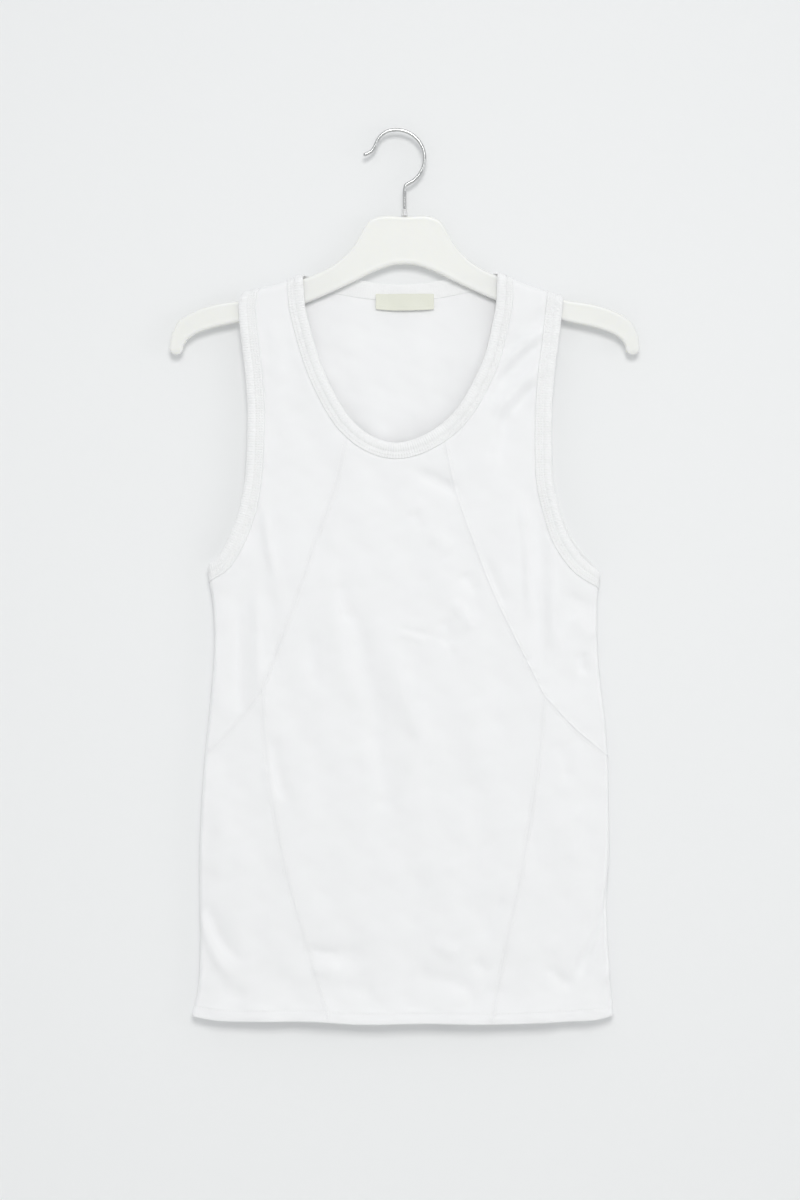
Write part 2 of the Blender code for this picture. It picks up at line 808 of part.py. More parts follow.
def make_front(pattern, finish):
    """The five front panels. Rows of neighbours meet at shared stations along the seams."""
    tables = {
        "left": (DIAGONAL_LEFT, DIAGONAL_LEFT_TAIL, LOWER_LEFT),
        "right": (DIAGONAL_RIGHT, DIAGONAL_RIGHT_TAIL, LOWER_RIGHT),
    }
    centre_edges = {}
    low_rows = LOWER_ROWS + len(HEM_STEPS)
    for which, (diagonal_table, tail_table, lower_table) in tables.items():
        rolled = (which == "left", which == "right")
        neck = pattern.neck[which] if which == "left" else pattern.neck[which][::-1]
        turning_place = rows_of(diagonal_table)[NET_TURN_ROW]
        upper_part, lower_part = split_at(curve_from(neck[-1], diagonal_table), turning_place)
        upper_part, lower_part = stations(upper_part, DIAGONAL_ROWS), stations(lower_part, SIDE_ROWS)
        tail_end = tail_table["z"][-1]
        tail_points = rows_of(tail_table)
        tail_points[-1] = (flat_side(which, tail_end), tail_end)
        tail = stations(smooth_curve(tail_points), 2 * PANEL_COLUMNS)[::-1]
        # Upper panel with its strap. Below a line from the foot of the armhole to the diagonal seam, its net
        # runs up the side, and above it up the armhole.
        sewn = pattern.sewn[which, True][::-1]
        turn_line = np.linspace(sewn[0], lower_part[0], 2 * PANEL_COLUMNS + 1)
        side_part = stations(side_curve(which, tail_end, sewn[0, 1]), SIDE_ROWS)
        shoulder = ridge_between(sewn[-1], neck[0], 2 * PANEL_COLUMNS)
        below = mirrored_fill(which, side_part, lower_part[::-1], tail, turn_line)
        inner = np.concatenate([upper_part[::-1][:-1], neck[::-1]])
        above = mirrored_fill(which, sewn, inner, turn_line, shoulder)
        net = spread_columns(np.concatenate([below[:-1], above]), *rolled)
        make_wall("front_shoulder_" + which, draw_in(net), True, finish)
        # Lower panel, from the diagonal seam to the hem.
        hem_start = (lower_table["x"][0], float(hem(lower_table["x"][0])))
        lower = stations(curve_from(hem_start, lower_table), low_rows, first=HEM_STEPS)
        outer = stations(side_curve(which, hem_corner(which), tail_end), low_rows, first=HEM_STEPS)
        bottom = hem_between(outer[0], lower[0], 2 * PANEL_COLUMNS)
        net = spread_columns(mirrored_fill(which, outer, lower, bottom, tail), *rolled)
        make_wall("front_side_" + which, draw_in(net, hem_row=True), True, finish)
        diagonal = np.concatenate([upper_part[:-1], lower_part])
        centre_edges[which] = np.concatenate([lower[:-1], diagonal[::-1]])
    left, right = centre_edges["left"], centre_edges["right"]
    bottom = hem_between(left[0], right[0], NECK_COLUMNS)
    net = fill_panel(left, right, bottom, pattern.neck["middle"])
    make_wall("front_centre", draw_in(net, hem_row=True), True, finish)


def hem_corner(which):
    """Height of the hem at a side seam."""
    return float(hem(side(which, hem(0))))


def make_back(pattern, finish):
    """The back, one piece: sides and armholes, two shoulders and the neck between them."""
    sides = {}
    for which in ("left", "right"):
        sewn = pattern.sewn[which, False][::-1]
        low = stations(side_curve(which, hem_corner(which), sewn[0, 1]), BACK_SIDE_ROWS, first=HEM_STEPS)
        sides[which] = np.concatenate([low[:-1], sewn])
    neck = pattern.neck["back"][::-1]
    left_shoulder = ridge_between(sides["left"][-1], neck[0], SHOULDER_COLUMNS)
    right_shoulder = ridge_between(neck[-1], sides["right"][-1], SHOULDER_COLUMNS)
    top = np.concatenate([left_shoulder[:-1], neck, right_shoulder[1:]])
    bottom = hem_between(sides["left"][0], sides["right"][0], CURVE_POINTS)
    bottom = at_lengths(bottom, shares_of(top) * lengths_of(bottom)[-1])
    net = add_side_columns(fill_panel(sides["left"], sides["right"], bottom, top))
    make_wall("back", draw_in(net, hem_row=True), False, finish)


# ----------------------------------------------------------------------------------------------------
# Bindings and label


def binding_rings(sewn, free, front):
    """Sections of a binding at each pair of stations, drawn back from the sewn edge by half the seam's gap."""
    width = np.linalg.norm(free - sewn, axis=1)[:, None]
    sewn = sewn + (free - sewn) / width * HALF_GAP
    share = BINDING_SECTION["share"][None, :, None]
    flat = sewn[:, None] * (1 - share) + free[:, None] * share
    return cloth_point(flat, front) + edge_normal(flat, front) * BINDING_SECTION["out"][None, :, None]


def make_bindings(pattern, finish):
    neck_front = np.concatenate(
        [pattern.neck["left"][:-1], pattern.neck["middle"][:-1], pattern.neck["right"]]
    )
    left, right = NECK_AT_RIDGE["left"], NECK_AT_RIDGE["right"]
    free_front = across_binding(
        neck_front, NECK_BINDING_WIDTH, (ridge_line(left, 1), ridge_line(right, -1)), NECK_TURN
    )
    neck_back = pattern.neck["back"]
    free_back = across_binding(
        neck_back, -BACK_NECK_BINDING_WIDTH, (ridge_line(right, -1), ridge_line(left, 1)), BACK_NECK_TURN
    )
    for free in (free_front, free_back):
        free[[0, -1], 1] = flat_ridge(free[[0, -1], 0])
    free_back[0], free_back[-1] = free_front[-1], free_front[0]
    rings = np.concatenate(
        [binding_rings(neck_front, free_front, True)[:-1], binding_rings(neck_back, free_back, False)[:-1]]
    )
    make_ring("neck_binding", rings, finish)
    for which in ("left", "right"):
        ahead = binding_rings(pattern.sewn[which, True], pattern.free[which, True], True)
        behind = binding_rings(pattern.sewn[which, False][::-1], pattern.free[which, False][::-1], False)
        make_ring("armhole_binding_" + which, np.concatenate([ahead[:-1], behind[:-1]]), finish)


def make_label(finish):
    """A folded tape against the inner face of the back, a little bowed at its lower edge."""
    across = np.linspace(-1, 1, LABEL_COLUMNS + 1)[None]
    down = np.linspace(1, 0, LABEL_ROWS + 1)[:, None]
    z = LABEL_TOP - (LABEL_HEIGHT + LABEL_BOW * (1 - across**2)) * down
    flat = np.stack([np.broadcast_to(LABEL_CENTRE + across * LABEL_WIDTH / 2, z.shape), z], -1)
    outer = cloth_point(flat, False)
    normal = cloth_normal(flat, False)
    depth = (BINDING - BINDING_OUT + SEAM_GAP + LABEL_LIFT * down**2)[..., None]
    near = outer - normal * depth
    far = outer - normal * (depth + LABEL_THICKNESS)
    points = np.concatenate([far.reshape(-1, 3), near.reshape(-1, 3)])
    return make_mesh("neck_label", points, wall_faces(*z.shape), finish)


# ----------------------------------------------------------------------------------------------------
# Hanger


def hanger_outline():
    """Closed outline of the hanger: upper edge, round tip and lower edge of its right half, and the mirror."""
    top = smooth_curve(rows_of(HANGER_TOP))
    bottom = smooth_curve(rows_of(HANGER_BOTTOM))
    turn = np.radians(np.linspace(*TIP_ARC, TIP_POINTS))
    tip = np.array(TIP_CENTRE) + TIP_RADIUS * np.stack([np.cos(turn), np.sin(turn)], 1)
    half = np.concatenate([stations(top, HANGER_TOP_STEPS), tip, stations(bottom, HANGER_BOTTOM_STEPS)])
    mirrored = half[::-1][1:-1] * (-1, 1)
    return np.concatenate([half, mirrored])


def make_hanger(finish):
    """The outline drawn in along a quarter circle towards each face, and flat faces inside that."""
    outline = hanger_outline()
    tangent = np.roll(outline, -1, axis=0) - np.roll(outline, 1, axis=0)
    tangent /= np.linalg.norm(tangent, axis=1)[:, None]
    inward = np.stack([tangent[:, 1], -tangent[:, 0]], 1)
    edge_start = HANGER_THICKNESS / 2 - HANGER_EDGE
    rings = []
    for face, angles in ((-1, (90, 45, 0)), (1, (0, 45, 90))):
        for angle in np.radians(angles):
            place = outline + inward * HANGER_EDGE * (1 - np.cos(angle))
            y = face * (edge_start + HANGER_EDGE * np.sin(angle))
            rings.append(np.stack([place[:, 0], np.full(len(place), y), place[:, 1]], 1))
    return make_ring("hanger_body", np.array(rings), finish, closed=False)


def make_collar(finish):
    """A short cone on top of the hump, round the foot of the wire."""
    turns = np.linspace(0, 2 * np.pi, COLLAR_SIDES, endpoint=False)
    rings = []
    for radius, z in zip(COLLAR_RADII, (COLLAR_TOP, HUMP_TOP + SEAM_GAP)):
        x, y = STEM_X + radius * np.cos(turns), radius * np.sin(turns)
        rings.append(np.stack([x, y, np.full(len(turns), z)], 1))
    return make_ring("hanger_collar", np.array(rings), finish, closed=False)


def hook_line():
    """Centre line of the wire: the curled tip, an arc round the pin, and a bend into the stem."""
    angles = np.radians(np.linspace(*HOOK_ARC, HOOK_ARC_POINTS))
    arc = np.array(HOOK_CENTRE) + HOOK_RADIUS * np.stack([np.cos(angles), np.sin(angles)], 1)
    foot = [(STEM_X, COLLAR_TOP + SEAM_GAP)]
    points = np.concatenate([rows_of(HOOK_TIP), arc, rows_of(HOOK_STEM), foot])
    return stations(smooth_curve(points), HOOK_RINGS)


def make_hook(finish):
    line = hook_line()
    across = normals_of(line)
    turns = np.linspace(0, 2 * np.pi, WIRE_SIDES, endpoint=False)
    radius = WIRE_DIAMETER / 2
    in_plane = line[:, None] + across[:, None] * np.cos(turns)[None, :, None] * radius
    depth = np.broadcast_to(np.sin(turns) * radius, in_plane.shape[:2])
    rings = np.stack([in_plane[..., 0], depth, in_plane[..., 1]], -1)
    return make_ring("hanger_hook", rings, finish, closed=False)


def main():
    for old in list(bpy.data.objects):
        bpy.data.objects.remove(old)
    jersey = material("white_jersey", (0.86, 0.86, 0.87), 0.85)
    rib = material("white_rib", (0.84, 0.85, 0.84), 0.9)
    tape = material("cream_tape", (0.78, 0.78, 0.7), 0.75)
    plastic = material("white_plastic", (0.82, 0.82, 0.8), 0.35)
    chrome = material("chrome_wire", (0.62, 0.62, 0.63), 0.12, 1.0)
    pattern = Pattern()
    make_front(pattern, jersey)
    make_back(pattern, jersey)
    make_bindings(pattern, rib)
    make_label(tape)
    make_hanger(plastic)
    make_collar(plastic)
    make_hook(chrome)


main()
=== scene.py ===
"""Looks of a white tank top on a moulded plastic hanger: cloth, ribs, sewing, plastic, chrome and a plain
studio.

Frame: +Z is up, +X is to the viewer's right, the front faces -Y, and y = 0 runs through the hanger's
middle. Left and right are the viewer's. Shapes are worked out in millimetres and turned into metres when a
mesh is made.

The cloth is worked out on flat panels. A flat point (x, z) is a place on the cloth as if its rounded edges,
the side seams and the shoulder ridge, were rolled out flat. cloth_point rolls it back into the hanging
shape.
"""

import math

import bpy
import numpy as np
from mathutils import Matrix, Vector


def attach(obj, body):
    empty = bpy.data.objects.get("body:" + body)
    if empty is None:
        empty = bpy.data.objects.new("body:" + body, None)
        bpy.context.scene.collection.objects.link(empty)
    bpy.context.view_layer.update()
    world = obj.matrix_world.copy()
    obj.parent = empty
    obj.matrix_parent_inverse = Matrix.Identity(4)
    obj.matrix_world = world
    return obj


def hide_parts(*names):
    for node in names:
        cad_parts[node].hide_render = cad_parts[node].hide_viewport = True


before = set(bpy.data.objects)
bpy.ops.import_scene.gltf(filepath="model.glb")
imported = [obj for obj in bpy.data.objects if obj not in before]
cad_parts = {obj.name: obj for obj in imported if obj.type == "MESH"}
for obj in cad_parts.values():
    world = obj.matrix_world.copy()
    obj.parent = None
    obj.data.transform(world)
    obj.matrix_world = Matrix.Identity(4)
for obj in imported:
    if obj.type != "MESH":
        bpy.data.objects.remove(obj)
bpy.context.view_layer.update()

bl_info = {
    "name": "Tank top on a hanger",
    "version": (1, 0, 0),
    "blender": (4, 5, 0),
    "location": "View3D > Sidebar > Tank top",
    "description": "Cloth, ribbing, sewing and finish of a white tank top on its hanger",
    "category": "Object",
}

MILLIMETRE = 0.001
BODY = "root"
OUT = {"left": -1, "right": 1}  # way out from the middle along x

# Cloth, as in the solids
CLOTH = 1.2
BINDING = 2.2
BINDING_OUT = 0.6
SEAM_GAP = 0.3
HEM_HEIGHT = 12.0
HEM_EXTRA = 1.2
NECK_BINDING_WIDTH = 14.5
BACK_NECK_BINDING_WIDTH = 15.5
ARMHOLE_BINDING_WIDTH = 15.0
NECK_TURN = 20.0
BACK_NECK_TURN = 34.0
ARMHOLE_TURN = 24.0
SIDE_RADIUS = 3.6
RIDGE_RADIUS = 6.6
LENS_POWER = 3.0
FOLD_FADE = 8.0

# Sewing
STITCHES_OFF_SEAM = 2.15
HEM_STITCHES = 9.6  # over the hem's edge
HEM_ROW_END = 1.5  # how far from a side seam the hem's stitches end
HEM_ROW_STEPS = 400
LONG_SEAM_ENDS = (3, 4)  # how far from a seam's ends its stitches start and end
LOW_SEAM_ENDS = (1, 3)
BINDING_ENDS = (1.5, 1.5)
HEM_STEP = 1.6  # height over which the hem's second layer ends
NECK_STITCHES = (2.4, 5.2)  # from the binding's sewn edge
ARMHOLE_STITCHES = (2.5, 5.0)
BINDING_STITCH_LIFT = 0.5
SEWING_REACH = 9.0  # how far from a seam the cloth's face is changed
SEAM_SHADE_WIDTH = 0.45  # of the painted shade line along a panel's seam, where the seam's groove falls in shade
EDGE_SHADE_WIDTH = 0.6  # and of that painted shade along a binding's sewn edge
# Puckers: how much they change the height of a seam, of the panel on top and of the hem, then their own
# height, how far from the sewing they fade, and where and how strongly they stand at the hem and the edges.
SEAM_UNEVEN = 0.3
LIFT_UNEVEN = 0.35
HEM_UNEVEN = 0.12
PUCKER_HEIGHT = 0.10
PUCKER_FADE = 3
HEM_PUCKERS = (11, 4, 0.8)  # height over the hem's edge, fade, share
EDGE_PUCKERS = 0.8
STITCH_SHARES = (-0.5, -0.42, 0.0, 0.42, 0.5)  # of a stitch's length, from one hole to the other
STITCH_THICKNESS = (0.25, 0.8, 1.0, 0.8, 0.25)  # times the thread's radius
STITCH_BOW = (-0.6, -0.1, 0.5, -0.1, -0.6)
STITCH_SIDES = 6
STITCH_MAP = (2.2, 1.1)  # size of a stitch in the map that its plies are drawn on

# Hanger
HANGER_THICKNESS = 6.5
TIP_CENTRE = (203.4, -191.8)
TIP_RADIUS = 6.3
TIP_ARC = (20, -190)  # degrees
TIP_STEPS = 240
TIP_END = -88  # degrees, where the upper and the lower edge meet
HOOK_RADIUS = 25.15
HOOK_CENTRE = (-7.2, -22.4)
HOOK_ARC = (112.0, -66.0)
STEM_X = 0.1
COLLAR_TOP = -67.9
HUMP_TOP = -74.5
THIN_BELOW = 12.0  # parts of the hanger lower than this are thinner too
EDGE_SPACING = 1.35  # crowds the hanger's sections towards its tips
HANGER_SECTIONS = 150
LEAST_BETWEEN = 0.6  # half of the face between the two rims' last points
NEARLY_NOTHING = 1e-6  # stands for a height of nothing where it divides

# Label
LABEL_WIDTH = 52.0
LABEL_TOP = -143.3
LABEL_HEIGHT = 13.4
LABEL_THICKNESS = 0.8
LABEL_CENTRE = 0.3
LABEL_BOW = 1.3
LABEL_LIFT = 1.7
LABEL_CURL = 0.25  # uneven lift along the lower edge
LABEL_WAVE = (3.1, 0.6)  # turn of this lift from the middle to a side, and its phase
LABEL_BULGE = 0.25  # how far the rounded edge stands out
LABEL_FOLD = (2.4, 0.5, 0.16)  # height over the lower edge, width and depth of the fold's groove
LABEL_EDGE = 0.3  # rounded off at each side
LABEL_NET = (41, 105)

# Depth of the knit in metres, and how strongly shade is painted into the cloth's colour along its seams and
# sewn edges, where their grooves fall in shade
JERSEY_LOOK = (0.00008, 0.03)
RIB_LOOK = (0.0001, 0.10)

# Studio, in metres
VIEW_CENTRE = (-0.004, 0.0, -0.4166)
LOW_AIM = (-0.004, 0.0, -0.6466)
SENSOR = 36.0  # millimetres
CAMERA_CLIP = (0.05, 20.0)
BACKDROP_REACH = 3.0
FLOOR_REACH = 4.0
SURROUNDINGS = (0.96, 0.98, 1.0, 1.0)
LIGHTS = (  # name, place, aim, size, spread in degrees, setting that holds its power, colour
    ("top light", (0.15, -3.4, 1.25), LOW_AIM, 1.3, 80, "top_power", (1.0, 0.995, 0.98)),
    ("right light", (3.3, -1.5, -0.3), VIEW_CENTRE, 1.4, 180, "side_power", (1.0, 1.0, 1.0)),
    ("back light", (-2.6, 2.3, 0.7), VIEW_CENTRE, 1.4, 180, "back_power", (1.0, 1.0, 1.0)),
)

# Fineness of the meshes
CURVE_STEPS = 60
CELL = 2.5  # of the panels' nets
EDGE_STRIP = 1.12  # how far the replaced cells reach past the last finer one
STRIP_ROOM = 1.08  # least room for it where the cells shrink
MOST_STEP = 4.0  # of the straight pieces that distances are measured to
RIM_STEPS = 5
SEAM_RIM = 0.03  # how far a panel's rounded edge stands out from its faces' borders
TOUCH = 0.01  # left between the rims of two panels that are sewn together
HEM_RIM = 1.1
NET_TURN_ROW = 4  # of the diagonal seams' tables, where the shoulder panels' nets turn
SIDE_CELLS_MORE = 6  # across a side panel, as it widens away from its seam
SEAM_STEPS = (0.1, 0.45, 0.9, 1.4, 1.9, 2.4, 3.0, 3.7, 4.6, 5.8)
SIDE_STEPS = (0.1, 0.5, 1.1, 1.7, 2.3, 2.9, 3.5, 4.1, 4.7, 5.3, 6.1, 7.3)
HEM_STEPS = (0.5, 1.2, 2.1, 3.2, 4.4, 5.6, 6.7, 7.5, 8.1, 8.6, 9.1, 9.6, 10.2, 10.9, 11.8, 12.9, 14.2, 16, 18)
CORNER_SINE = 0.35
PROBE = 0.05  # from a point to its neighbours that give its normal
PROBE_MARGIN = 1.2 * PROBE
RIB_STATIONS = 6
RIB_SHARPNESS = 1.6
RIB_MIDDLE = 0.6
WIRE_SIDES = 24
WIRE_SECTIONS = 220
WIRE_STEPS = 30
ARC_POINTS = 13
TIP_SECTIONS = 8
TIP_FLAT = 0.02  # radius of the flat end of the wire's rounded tip
COLLAR_SIDES = 48
BACK_RIBS = 0.4  # height of the ribs at the back, as a share of the front's


def table(columns, *rows):
    """A short table with named columns and one row for each section."""
    return dict(zip(columns.split(), np.array(rows, float).T))


SIDES = table(
    "z left right",
    (-790, -190, 186.3), (-765, -184.6, 184.4), (-728, -182.4, 182), (-692, -182.6, 180.2),
    (-640, -182.8, 182.8), (-600, -181.2, 182.2), (-550, -177.6, 181), (-515, -174, 178.2),
    (-480, -170.8, 174), (-443, -169.6, 172), (-416, -171.4, 172.2), (-401, -173.8, 173.2),
    (-386, -175, 174.6), (-340, -184, 182), (-240, -212, 210), (-120, -235, 235),
)
RIDGE = table(
    "x z",
    (-200, -160), (-144, -142.8), (-90.5, -126.3), (-76, -120.5), (-57, -111), (-36, -84), (0, -72),
    (36, -84), (55, -109), (70, -119.5), (81.6, -124.1), (141.4, -146.4), (200, -169),
)
HEM = table(
    "x z",
    (-193, -787), (-170, -791), (-130, -792), (-80, -792), (-44, -794.3), (20, -793.6), (65, -794.4),
    (110, -793.6), (150, -791.8), (172, -790.4), (190, -785.6),
)
DEPTH = table(
    "z front back",
    (-800, 8.6, 6), (-792, 7.9, 5.9), (-778, 6.5, 5.8), (-762, 6, 5.8), (-700, 6.8, 6), (-560, 7.7, 6.4),
    (-420, 7.3, 6.2), (-340, 6.1, 5.5), (-290, 5.4, 5.1), (-240, 5.5, 5.3), (-195, 6.2, 6),
    (-165, 6.6, 6.4), (-120, 6.6, 6.5),
)
ARMHOLES = table(
    "z left right back_left back_right",
    (-150, -147.4, 141.2, -147, 141), (-167, -147.2, 139.6, -146.2, 139),
    (-185, -145.4, 137.6, -144, 137), (-212, -142.3, 134.2, -140.8, 133.8),
    (-247, -140, 131.5, -138.4, 131.6), (-280, -140.4, 131.2, -138.6, 132),
    (-310, -142.5, 132.2, -140.6, 133.8), (-338, -148, 138.3, -146, 140.2),
    (-354, -153.6, 143.2, -151.6, 146), (-368, -160.2, 150.7, -158.4, 154.6),
    (-380, -168.4, 160.2, -167.2, 164.4),
)
ARMHOLE_ENDS = {"left": -386.0, "right": -392.4}
NECK = table(
    "z left right",
    (-158, -102.6, 95.4), (-176, -98.6, 91.9), (-194, -93.7, 87.9), (-211.5, -87.9, 82.1),
    (-229, -80.3, 74), (-247, -71.1, 63.8), (-265, -58.5, 49), (-280, -41.5, 28.5), (-288, -25, 10.5),
)
NECK_LOWEST = (-7.0, -291.0)
NECK_AT_RIDGE = {"left": -104.8, "right": 96.8}
BACK_NECK = table(
    "x z",
    (-94, -136.5), (-63.8, -142.6), (-26.3, -148.4), (0.4, -149.8), (26.3, -147.6), (58.4, -141.4),
    (86, -135.5),
)
# Front seams: the diagonals, their tails out to the side seams, and the seams from there down to the hem.
DIAGONAL = {
    "left": table(
        "x z",
        (-51.3, -271.7), (-62, -318), (-78, -361), (-93.5, -408), (-110, -453), (-127, -497),
    ),
    "right": table(
        "x z",
        (36.1, -276), (45.5, -320), (61.5, -366), (80, -413), (103, -460), (124.3, -502),
    ),
}
TAIL = {
    "left": table("x z", (-127, -497), (-150.3, -527.3), (-178, -558.5)),
    "right": table("x z", (124.3, -502), (151.2, -530.5), (181, -557.6)),
}
LOWER = {
    "left": table(
        "x z",
        (-67.5, -791.9), (-88, -722), (-106, -657), (-118, -592), (-125.5, -528), (-127, -497),
    ),
    "right": table(
        "x z",
        (77.2, -794.3), (91, -722), (103, -664), (112, -612), (120.5, -550), (124.3, -502),
    ),
}

# The solids' folds.
FRONT_FOLDS = table(
    "x0 z0 x1 z1 depth width",
    (123, -160, 84, -200, -2.1, 7), (117, -196, 72, -240, -2.3, 8), (112, -232, 84, -280, -1.7, 8),
    (8, -302, 50, -322, -2.1, 7), (-46, -420, -28, -505, -2, 9), (-30, -490, -14, -610, -2.5, 11),
    (-68, -388, -48, -506, 2.2, 11), (-12, -466, 18, -546, 2.1, 10), (120, -318, 123, -497, -2.1, 6.5),
    (-128, -322, -111, -418, 1.8, 7), (-143, -404, -141, -500, -1.6, 8), (140, -423, 172, -428, -1.6, 8),
    (158, -462, 168, -520, -1.8, 8), (-88, -730, -38, -736, -2.2, 9), (16, -752, 58, -760, -2.1, 8),
    (70, -716, 88, -684, -1.8, 8), (178, -668, 154, -758, -2.6, 7), (-172, -690, -148, -738, -2, 8),
)
BACK_FOLDS = table(
    "x0 z0 x1 z1 depth width",
    (-108, -176, -60, -230, -1.5, 9), (104, -172, 66, -222, -1.6, 9), (-24, -230, -36, -420, -1.5, 14),
    (40, -330, 28, -520, 1.4, 14), (-120, -330, -112, -480, -1.7, 11), (118, -340, 112, -500, -1.6, 11),
    (-90, -560, -30, -640, 1.4, 14), (96, -600, 40, -690, -1.5, 13), (-60, -742, 20, -752, -1.5, 9),
)

# Smaller creases: troughs (-) and ridges (+) along bent lines. bend is how far the middle lies off the
# straight line.
FRONT_CREASES = table(
    "x0 z0 x1 z1 bend height width",
    (10, -301, 47, -321, -2, -1.1, 5), (6, -336, 16, -356, 0, -1.25, 6), (24, -358, 42, -374, 0, 1.5, 7),
    (50, -392, 64, -412, -2, -1.88, 6), (42, -416, 60, -446, -2, 1.88, 6),
    (34, -432, 44, -458, 0, -1.96, 6), (72, -374, 92, -424, 2, -1.96, 6),
    (-8, -440, 32, -449, 1, -1.06, 2.6), (-6, -447, 20, -455, -2, 0.96, 3.5),
    (28, -446, 44, -470, -3, -1.06, 4), (-56, -398, -46, -440, 2, -1.96, 6),
    (-82, -436, -78, -500, 2, -1.4, 7), (-36, -540, -20, -600, 2, 1.68, 9),
    (4, -540, 12, -610, -2, 1.4, 9), (84, -470, 82, -540, 0, -1.4, 9), (62, -500, 66, -560, 2, 1.19, 9),
    (104, -318, 112, -438, -1, 1.96, 4), (131, -356, 136, -470, 2, 2.1, 5),
    (108, -340, 104, -400, 0, -1.19, 4), (-124, -330, -114, -400, 2, 1.4, 3.5),
    (-132, -396, -130, -500, 0, 1.68, 5), (-118, -402, -114, -510, 0, -1.19, 6),
    (-164, -410, -164, -530, 2, 1.96, 9), (-147, -420, -146, -520, 0, -1.96, 5),
    (150, -428, 170, -452, 0, 1.88, 7), (158, -462, 163, -484, 2, -1.68, 5),
    (140, -540, 146, -580, 0, -1.4, 7), (-116, -534, -104, -600, 3, -2.1, 6),
    (-124, -560, -118, -600, 0, 1.19, 5), (-180, -689, -151, -756, 7, 2.38, 4.5),
    (-175, -684, -144, -742, 6.7, -2.12, 5), (188, -612, 149, -766, -11, -2.8, 5),
    (180, -630, 144, -752, -11, 1.6, 5), (138, -411, 178, -425, 0, -1.5, 6),
    (-240, -791, 240, -793, 0, 1.9, 15), (190, -690, 168, -770, -8, 1.96, 5),
    (128, -740, 154, -762, 4, -1.75, 6), (-84, -728, -58, -730, 1, -1.06, 2.4),
    (-84, -744, -56, -748, 1, 1.25, 7), (22, -722, 48, -734, -2, 1.75, 7),
    (60, -736, 76, -752, 0, -1.5, 6), (66, -762, 90, -768, 0, -1.25, 6), (20, -776, 60, -772, 0, 1.06, 8),
    (-140, -740, -90, -762, 3, -1.06, 9), (-168, -762, -140, -770, 0, -1.25, 8),
    (-60, -760, -24, -766, 0, -1.06, 7), (-130, -200, -112, -280, 4, -1.08, 8),
    (-120, -168, -112, -230, -3, 1.19, 6), (128, -172, 88, -212, 3, 2.6, 5),
    (126, -184, 82, -228, 3, -2.2, 4.5), (122, -208, 78, -256, 3, 2.6, 5),
    (120, -222, 84, -268, 3, -2.2, 4.5), (100, -250, 80, -296, 2, -1.4, 6),
    (-92, -540, -74, -660, 6, 1.19, 12), (56, -560, 66, -680, -6, -1.19, 12),
    (20, -650, 4, -720, 4, -1.08, 10), (160, -590, 150, -660, 3, 1.4, 9),
    (-164, -590, -168, -670, -3, 1.4, 9),
)
BACK_CREASES = table(
    "x0 z0 x1 z1 bend height width",
    (-70, -170, -40, -196, 3, -0.77, 6), (70, -176, 50, -220, -4, -0.68, 6),
    (-130, -360, -124, -470, 4, -0.85, 6), (128, -352, 120, -460, -4, -0.85, 6),
    (-20, -300, -60, -420, 7, 0.77, 10), (60, -400, 44, -560, -6, -0.68, 10),
    (-100, -480, -70, -640, 6, 0.68, 11), (20, -560, 50, -700, -5, 0.68, 10),
    (-160, -620, -148, -720, 3, -0.85, 7), (160, -600, 150, -716, -3, -0.85, 7),
    (-40, -700, 30, -716, 4, -0.68, 8), (60, -752, 120, -744, -3, -0.68, 7),
    (-140, -764, -90, -752, 3, -0.59, 7), (0, -440, 12, -520, 3, 0.59, 8),
    (-240, -790, 240, -792, 0, 0.5, 15),
)

# Long low waves of the hanging cloth.
WAVES = table(
    "length angle phase height",
    (61, 12, 0.4, 0.39), (47, 171, 2.1, 0.312), (38, 24, 4, 0.234), (29, 166, 1.2, 0.156),
    (52, 84, 5.1, 0.182), (24, 38, 3.3, 0.117), (19, 140, 0.9, 0.091), (27, 97, 2.7, 0.117),
    (16, 62, 1.7, 0.058), (14, 112, 4.4, 0.058),
)
BACK_WAVES = (17, 40)  # the back has the front's waves, mirrored and moved by this

# Short ripples that the sewing draws up beside a seam.
PUCKERS = table(
    "length angle phase height",
    (8.7, 78, 0.3, 0.5), (11.9, 104, 1.9, 0.5), (15.3, 63, 4.4, 0.4), (7.1, 121, 2.2, 0.3),
)

# Height of the cloth's face at a distance from a seam, a binding's edge and the hem's edge.
SEAM_PROFILE = table(
    "away out",
    (0, 0.06), (0.7, 0.08), (1.5, 0.08), (2.2, 0.055), (2.9, 0.075), (4.4, 0.04), (8, 0),
)
# How much the panel that lies on top of a seam's layers stands out.
SEAM_LIFT = {"front_shoulder_left": 0.15, "front_shoulder_right": 0.65}
SEAM_LIFT_REACH = 1.7
RIDGE_FADE = 30.0  # how far below the ridge the cloth's creases are at their full height
SIDE_FADE = 5.0
EDGE_PROFILE = table("away out", (0, -0.45), (0.9, -0.2), (2.2, 0.06), (4.5, 0.07), (8, 0))
HEM_PROFILE = table(
    "above out",
    (0, 0.15), (1.4, 0.5), (3.6, 0.68), (6.4, 0.6), (8.6, 0.44), (9.6, 0.28), (10.6, 0.36), (12.6, 0.32),
    (16, 0.22), (21, 0.1), (27, 0),
)

